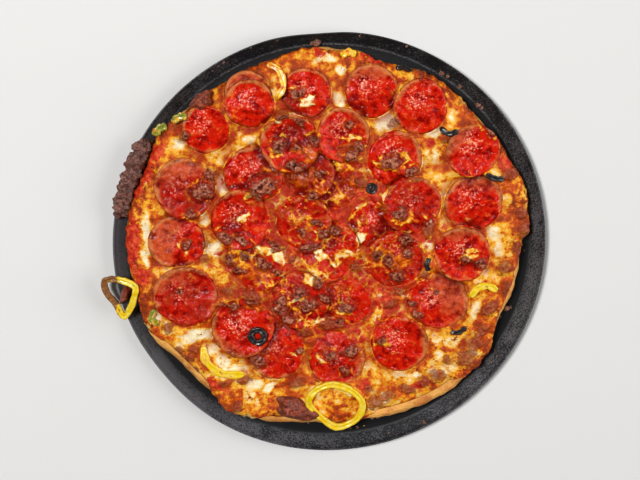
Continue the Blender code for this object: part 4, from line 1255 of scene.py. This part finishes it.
class PIZZA_OT_cheese(bpy.types.Operator):
    """Melt the cheese between and round the slices and down the dough's side"""

    bl_idname = "pizza.cheese"
    bl_label = "Cheese"

    def execute(self, context):
        land = terrain()
        cheese = add_disc("cheese_melted", 6, CHEESE_CUTS)
        share, angle = disc_places(cheese, 6)
        end = cheese_end(angle)
        crest = crest_reach(angle)
        # The way each point is from the middle, over the top and down the dough's side
        top_length = np.where(end < 0.5, crest * end / 0.5, crest)
        length = top_length + np.maximum(end - 0.5, 0.0) / SIDE_SHARE_PER_MM
        walk = share * length
        place = np.where(walk < top_length, 0.5 * walk / crest, 0.5 + (walk - top_length) * SIDE_SHARE_PER_MM)
        reach, height = skin(angle, place)
        x, y = polar(reach, angle)
        relief = context.scene.pizza_cheese.relief / MM
        bumps = many_lumps(x, y, (1.0, 8.0, 41), (0.6, 4.0, 42), (0.35, 2.0, 43))
        cover, rise = blister_fields(x, y)
        stain = land.read(land.stain, x, y)
        open_top = 1.0 - easy(stain, 0.45, 0.8)
        on_top = place <= 0.5
        # On top it keeps to the map, and swells between the middle slices but not over an olive
        thick = np.where(on_top, land.read(land.cheese, x, y) - height, CHEESE_CREST - CRUST_CREST)
        thick += large_relief(x, y) * easy(-place, -0.5, -0.46)
        swell = 0.9 * open_top * easy(-np.hypot(x, y), -90.0, -55.0)
        for _, olive_x, olive_y, radius, _, _ in OLIVE_RINGS:
            swell *= easy(np.hypot(x - olive_x, y - olive_y), radius + 1.0, radius + 5.0)
        thick += swell + (relief * bumps * (2.0 - on_top) + rise) * np.maximum(open_top, ~on_top)
        # Toward its end it thins to a rounded lip
        left = length - walk
        thick = CHEESE_LIP + (thick - CHEESE_LIP) * easy(left, 0.0, 5.0)
        lip = CHEESE_LIP * left / CHEESE_LIP_LENGTH - 0.3 * (share >= 1.0)
        thick = np.where(left < CHEESE_LIP_LENGTH, lip, thick)
        side_reach, side_height = lifted_skin(angle, place, thick)
        ragged = many_lumps(x, y, (0.8, 4.5, 45), (0.5, 2.2, 46))
        reach = np.where(on_top, reach, side_reach) + ragged * easy(reach, crest - 2.0, crest + 2.0)
        height = np.where(on_top, height + thick, side_height)
        move_points(cheese, *polar(reach, angle), height)
        outer = easy(reach, crest - 7.0, crest + 3.0)
        brown = 0.17 + 0.20 * outer + 0.22 * easy(-height, -15.0, -6.0) + 0.22 * lumps(x, y, 9.0, 44)
        paint(cheese, brown=brown, blister=cover, red=red_field(x, y),
              tone=cheese_fields(x, y)[0] + 0.4 * stain * (1.0 - stain) + 0.16 * outer,
              hollow=land.read(land.hollow, x, y) * on_top)
        close_underside(cheese, 0.5, 0.985, CRUST_FLOOR)
        finish(cheese, cheese_finish(), "cheese", "cheese")
        return {"FINISHED"}


class PIZZA_OT_pepperoni(bpy.types.Operator):
    """Shape each slice where it rests: domed, grained, with a soft rim"""

    bl_idname = "pizza.pepperoni"
    bl_label = "Pepperoni"

    def execute(self, context):
        land = terrain()
        settings = context.scene.pizza_pepperoni
        relief, dome = settings.relief / MM, settings.dome / MM
        material = pepperoni_finish()
        blank = add_disc("slice", 12, SLICE_CUTS)
        share, angle = disc_places(blank, 12)
        turn = np.radians(angle)
        for piece, (dry_side, dry_share, dullness) in zip(land.slices, SLICE_LOOKS):
            cut = blank.copy()
            cut.data = blank.data.copy()
            cut.name = cut.data.name = f"slice_{piece.number:02d}"
            context.scene.collection.objects.link(cut)
            across, along = polar(share * piece.edge(turn), angle)
            x, y = piece.x + across, piece.y + along
            # Its form: its own plane, a dome, a soft rim, grain, blisters and cheese that has run over it
            z = piece.level(x, y) + land.read(piece.lift, x, y)
            outward = easy(np.hypot(x, y), 50.0, 90.0)
            z += dome * (1.0 - share ** 2) - 0.9 * easy(share, 0.92, 1.0) ** 2
            z += (0.1 + 0.35 * outward) * np.exp(-((share - 0.91) / 0.06) ** 2)
            own = x + SLICE_SHIFT[0] * piece.number, y + SLICE_SHIFT[1] * piece.number
            z += relief * many_lumps(*own, (0.6, 2.4, 51), (1.4, 5.0, 52))
            cover, rise = blister_fields(x, y)
            tone, melt = cheese_fields(x, y)
            z += large_relief(x, y) * easy(-np.hypot(x, y), -136.0, -126.0) + rise
            z += 0.5 * easy(melt, 0.2, 0.8)
            move_points(cut, x, y, z)
            # Its paint: dry at one side and round the rim, and painted highlight flecks where it faces the
            # lamps
            toward = np.cos(turn - math.radians(dry_side))
            crescent = easy(share * toward, 1.0 - dry_share * 1.4, 1.1 - dry_share * 0.6)
            ragged = share + 0.05 * lumps(*own, 4.0, 56)
            ring = easy(ragged, 0.72, 0.93) * (0.70 + 0.3 * toward + 0.45 * lumps(*own, 9.0, 54))
            # Distance from the middle of the painted highlight, a little toward the back and left of the
            # slice
            glint_distance = np.hypot(across / piece.radius + 0.15, along / piece.radius - 0.2)
            creep = easy(share, 0.90, 1.0) * easy(lumps(x, y, 7.0, 55), 0.0, 0.6)
            paint(cut, tone=tone, blister=cover, hollow=land.read(land.hollow, x, y),
                  dry=np.maximum(crescent, ring) * (0.45 + 0.55 * outward) - 0.08,
                  edge=easy(ragged, 0.72, 0.95) * (0.9 + 0.3 * toward),
                  gloss=0.75 * easy(-glint_distance, -0.85, -0.15) - 0.15,
                  dull=dullness + 0.15 * lumps(*own, 9.0, 53),
                  # painted shade along the outer slices' rims
                  rim=easy(share, 0.955, 1.0) * easy(np.hypot(x, y), 40.0, 95.0),
                  melt=np.maximum(melt, 0.75 * creep))
            thicken(cut, SLICE_THICKNESS)
            finish(cut, material, "pepperoni", piece.name)
        bpy.data.objects.remove(blank)
        return {"FINISHED"}


def laid_line(name, points, height, closed):
    """A line on the middle of a CAD strip: each point goes half the strip's height under its top."""
    tree = node_tree(name)
    flat = smooth_line(points, closed)
    heights = [felt_height(tree, x, y) for x, y in flat]
    known = [k for k, value in enumerate(heights) if value is not None]
    filled = np.interp(np.arange(len(flat)), known, [heights[k] for k in known])
    kernel = np.array([0.25, 0.5, 0.25])
    for _ in range(3):
        before, after = (filled[-1:], filled[:1]) if closed else (filled[:1], filled[-1:])
        filled = np.convolve(np.concatenate([before, filled, after]), kernel, "valid")
    return np.column_stack([flat, filled - height / 2.0])


def add_strip(name, points, width, height, closed, material, slot):
    """A strip of vegetable: rounded outside, a little dished on top, with uneven width."""
    def section(share, turn):
        tip = 1.0 if closed else tapered(share, 6)
        uneven = 1.0 + 0.06 * np.sin(share * 8.0 * math.pi)
        if not closed:
            uneven += 0.10 * np.sin(share * 19.0 + len(name))
        squarish = (np.abs(np.cos(turn)) ** 4 + np.abs(np.sin(turn)) ** 4) ** -0.25
        dip = 0.22 * height * np.exp(-(np.cos(turn) / 0.35) ** 2) * (np.sin(turn) > 0)
        out = width / 2.0 * np.cos(turn) * squarish * uneven * tip
        up = (height / 2.0 * np.sin(turn) * squarish - dip) * tip
        return out, up

    strip = add_tube(name + "_cut", laid_line(name, points, height, closed), section, closed)
    roughen(strip, 3.0, 0.2, len(name))
    x = read_points(strip)[:, 0] / MM
    paint(strip, hidden=np.full_like(x, HIDDEN.get(name, 0.0)), scorched=0.9 * easy(-x, 145.0, 153.0) + 0.12)
    finish(strip, material, slot, name)


class PIZZA_OT_peppers(bpy.types.Operator):
    """Lay the banana pepper rings and strips and the green pepper bits"""

    bl_idname = "pizza.peppers"
    bl_label = "Peppers"

    def execute(self, context):
        look = context.scene.pizza_toppings
        finishes = {
            "banana_pepper": pepper_finish("banana_pepper", look.banana, look.banana_pale),
            "green_pepper": pepper_finish("green_pepper", look.green, look.green_pale),
        }
        for table, closed in ((STRIPS, False), (RINGS, True)):
            for name, points, width, height, slot in table:
                if slot in finishes:
                    add_strip(name, points, width, height, closed, finishes[slot], slot)
        return {"FINISHED"}


class PIZZA_OT_olives(bpy.types.Operator):
    """Lay the black olive rings and bits"""

    bl_idname = "pizza.olives"
    bl_label = "Olives"

    def execute(self, context):
        material = olive_finish()
        for name, points, width, height, slot in STRIPS:
            if slot == "black_olive":
                add_strip(name, points, width, height, False, material, slot)
        for name, x, y, radius, hole, height in OLIVE_RINGS:
            across, along = polar((radius + hole) / 2.0, np.arange(0, 360, 36))
            points = np.column_stack([x + across, y + along])
            add_strip(name, points, radius - hole, height, True, material, "black_olive")
        return {"FINISHED"}


class PIZZA_OT_browned_meat(bpy.types.Operator):
    """Shape the knobbly bits of browned meat"""

    bl_idname = "pizza.browned_meat"
    bl_label = "Browned meat"

    def execute(self, context):
        material = burnt_finish("browned_meat", context.scene.pizza_toppings.meat, 0.35, 0.42)
        for name, x, y, length, width, lean in LUMPS + [RING_BIT]:
            solid = name if name in frame["nodes"] else "banana_pepper_ring_over_rim"
            low, high = (corner.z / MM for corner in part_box(solid))
            lump = add_disc(name + "_baked", 6, LUMP_CUTS)
            share, angle = disc_places(lump, 6)
            turn, lean = np.radians(angle), math.radians(lean)
            knob = 1.0 + 0.12 * np.sin(3.0 * turn + x) + 0.08 * np.sin(5.0 * turn)
            along, across = polar(0.5 * share * knob, angle)
            along, across = length * along, width * across
            px = x + along * math.cos(lean) - across * math.sin(lean)
            py = y + along * math.sin(lean) + across * math.cos(lean)
            knobs = 0.75 + many_lumps(px, py, (0.45, 5.0, 61), (0.25, 2.6, 62))
            rise = (1.0 - share ** 2.2) * knobs
            floor = low + 0.4
            move_points(lump, px, py, floor + (high - floor) * np.clip(rise, 0.0, 1.0))
            close_underside(lump, 0.6, 0.98, floor - 0.6)
            finish(lump, material, "browned_meat", *[name] * (solid == name))
        return {"FINISHED"}


class PIZZA_OT_burnt_ridge(bpy.types.Operator):
    """Heap the burnt ridge on the pan's wall"""

    bl_idname = "pizza.burnt_ridge"
    bl_label = "Burnt ridge"

    def execute(self, context):
        lift = 0.7 * math.sqrt(1.0 + PAN_SLOPE * PAN_SLOPE)
        drop_selection()
        bpy.ops.mesh.primitive_grid_add(x_subdivisions=RIDGE_CUTS[0], y_subdivisions=RIDGE_CUTS[1], size=2.0)
        ridge = named("burnt_ridge")
        along, round_share, _ = ((read_points(ridge) + 1.0) / 2.0).T
        step = along * RIDGE_STEPS
        lump = 0.5 + 0.5 * np.sin(step * 1.9) * np.cos(step * 0.7 + 0.5)
        full = 1.0 - 0.45 * np.abs(2.0 * along - 1.0) ** 4
        inner = RIDGE_INNER + 1.2 * (1.0 - full) + 0.7 * lump
        outer = RIDGE_OUTER + 1.6 * lump * full
        top = PAN_HEIGHT + (RIDGE_TOP - PAN_HEIGHT + 1.6 * lump) * full
        wall = PAN_METAL + PAN_SLOPE * (inner - PAN_FOLD) + lift
        rim = np.full_like(inner, PAN_HEIGHT + 0.7)
        corners = [(inner, wall), (np.full_like(inner, PAN_RADIUS - 1.0), rim), (outer, rim),
                   (outer + 0.6, rim + 1.5), (outer - 2.0, top - 0.8), (0.5 * (inner + outer), top),
                   (inner + 0.3, top - 2.0 + lump), (inner - 0.5, wall + 2.4)]
        # Each point lies on an easy line from one corner of the section to the next
        place = round_share * len(corners)
        which = np.floor(place).astype(int)
        part = easy(place - which, -0.25, 1.25)
        rows = np.arange(len(along))
        tip = tapered(along, 8)
        section = []
        for values in np.moveaxis(np.array(corners), 1, 0):
            this, that = (values[(which + k) % len(corners), rows] for k in (0, 1))
            middle = values.mean(axis=0)
            section.append(middle + (this * (1 - part) + that * part - middle) * tip)
        reach, height = section
        move_points(ridge, *polar(reach, RIDGE_FROM + (RIDGE_TO - RIDGE_FROM) * along), height)
        seal(ridge)
        roughen(ridge, 3.4, 1.3, 3)
        roughen(ridge, 1.5, 0.6, 4)
        finish(ridge, burnt_finish("burnt_cheese", context.scene.pizza_toppings.ridge, 0.25, 0.5),
               "burnt_cheese", "burnt_cheese_ridge")
        return {"FINISHED"}


class PIZZA_OT_crumbs(bpy.types.Operator):
    """Scatter the few crumbs that lie on the pan"""

    bl_idname = "pizza.crumbs"
    bl_label = "Crumbs"

    def execute(self, context):
        material = burnt_finish("crumbs", context.scene.pizza_toppings.crumbs, 0.3, 0.6)
        pieces = []
        for number, (x, y, size) in enumerate(CRUMBS):
            out = min(math.hypot(x, y), PAN_RADIUS - 0.6) - PAN_FOLD
            ground = PAN_METAL + max(0.0, out) * PAN_SLOPE
            drop_selection()
            bpy.ops.mesh.primitive_ico_sphere_add(subdivisions=3, radius=0.5 * size * MM)
            crumb = context.active_object
            roughen(crumb, size * 0.45, size * 0.16, number)
            points = read_points(crumb) / MM
            move_points(crumb, points[:, 0] + x, points[:, 1] + y, points[:, 2] * 0.75 + ground + 0.3 * size)
            pieces.append(crumb)
        drop_selection()
        for crumb in pieces:
            crumb.select_set(True)
        context.view_layer.objects.active = pieces[0]
        bpy.ops.object.join()
        finish(named("crumbs"), material, "burnt_cheese")
        return {"FINISHED"}


class PIZZA_OT_stage(bpy.types.Operator):
    """Lay the pale floor, hang the lamps and place the camera"""

    bl_idname = "pizza.stage"
    bl_label = "Stage"

    def execute(self, context):
        look = context.scene.pizza_stage
        scene = context.scene
        drop_selection()
        bpy.ops.mesh.primitive_plane_add(size=FLOOR_SIZE, location=(0.0, 0.0, 0.0))
        floor = context.active_object
        floor.name = "floor"
        floor.data.transform(Matrix.Translation((0.0, 0.0, -FLOOR_DROP)))
        n = Finish("floor")
        colour = n.layered(n.grain(60.0), darker(look.floor, 0.985), look.floor)
        floor.data.materials.append(n.shaded({"Base Color": colour, "Roughness": 0.85}))
        world = scene.world or bpy.data.worlds.new("room")
        scene.world = world
        world.use_nodes = True
        fill(world.node_tree, world.node_tree.nodes["Background"],
             {"Color": (0.98, 0.99, 1.0), "Strength": look.sky})
        for name, spot, size, power in LAMPS:
            lamp = bpy.data.lights.new(name, "AREA")
            lamp.shape = "SQUARE"
            lamp.size = size
            lamp.energy = getattr(look, power)
            hung = bpy.data.objects.new(name, lamp)
            hung.location = spot
            hung.rotation_euler = (-Vector(spot)).to_track_quat("-Z", "Y").to_euler()
            scene.collection.objects.link(hung)
        camera = bpy.data.cameras.new("camera")
        camera.lens = look.lens
        camera.sensor_width = SENSOR_WIDTH
        camera.clip_start = 0.01
        held = bpy.data.objects.new("camera", camera)
        turned = Matrix(CAMERA_TURN).transposed().to_4x4()
        held.matrix_world = Matrix.Translation(CAMERA_PLACE) @ turned
        scene.collection.objects.link(held)
        scene.camera = held
        scene.view_settings.view_transform = "Standard"
        scene.view_settings.gamma = 0.9
        return {"FINISHED"}


OPERATORS = (PIZZA_OT_stage, PIZZA_OT_pan, PIZZA_OT_crust, PIZZA_OT_cheese, PIZZA_OT_pepperoni,
             PIZZA_OT_peppers, PIZZA_OT_olives, PIZZA_OT_browned_meat, PIZZA_OT_burnt_ridge,
             PIZZA_OT_crumbs)
SETTINGS = {
    "pizza_pan": PanSettings,
    "pizza_crust": CrustSettings,
    "pizza_cheese": CheeseSettings,
    "pizza_pepperoni": PepperoniSettings,
    "pizza_toppings": ToppingSettings,
    "pizza_stage": StageSettings,
}


class PIZZA_PT_build(bpy.types.Panel):
    """Lists the steps that build the pizza"""

    bl_idname = "PIZZA_PT_build"
    bl_label = "Pizza"
    bl_space_type = "VIEW_3D"
    bl_region_type = "UI"
    bl_category = "Pizza"

    def draw(self, context):
        for step in OPERATORS:
            self.layout.operator(step.bl_idname)
        for name, kind in SETTINGS.items():
            box = self.layout.box()
            for field in kind.__annotations__:
                box.prop(getattr(context.scene, name), field)


def register():
    for kind in (*SETTINGS.values(), *OPERATORS, PIZZA_PT_build):
        bpy.utils.register_class(kind)
    for name, kind in SETTINGS.items():
        setattr(bpy.types.Scene, name, PointerProperty(type=kind))


def unregister():
    for name in SETTINGS:
        delattr(bpy.types.Scene, name)
    for kind in (PIZZA_PT_build, *reversed(OPERATORS), *SETTINGS.values()):
        bpy.utils.unregister_class(kind)


def main():
    register()
    for item in list(bpy.data.objects):
        if item.type in ("CAMERA", "LIGHT"):
            bpy.data.objects.remove(item, do_unlink=True)
    for step in OPERATORS:
        group, name = step.bl_idname.split(".")
        getattr(getattr(bpy.ops, group), name)()
    drop_selection()


if __name__ == "__main__":
    main()
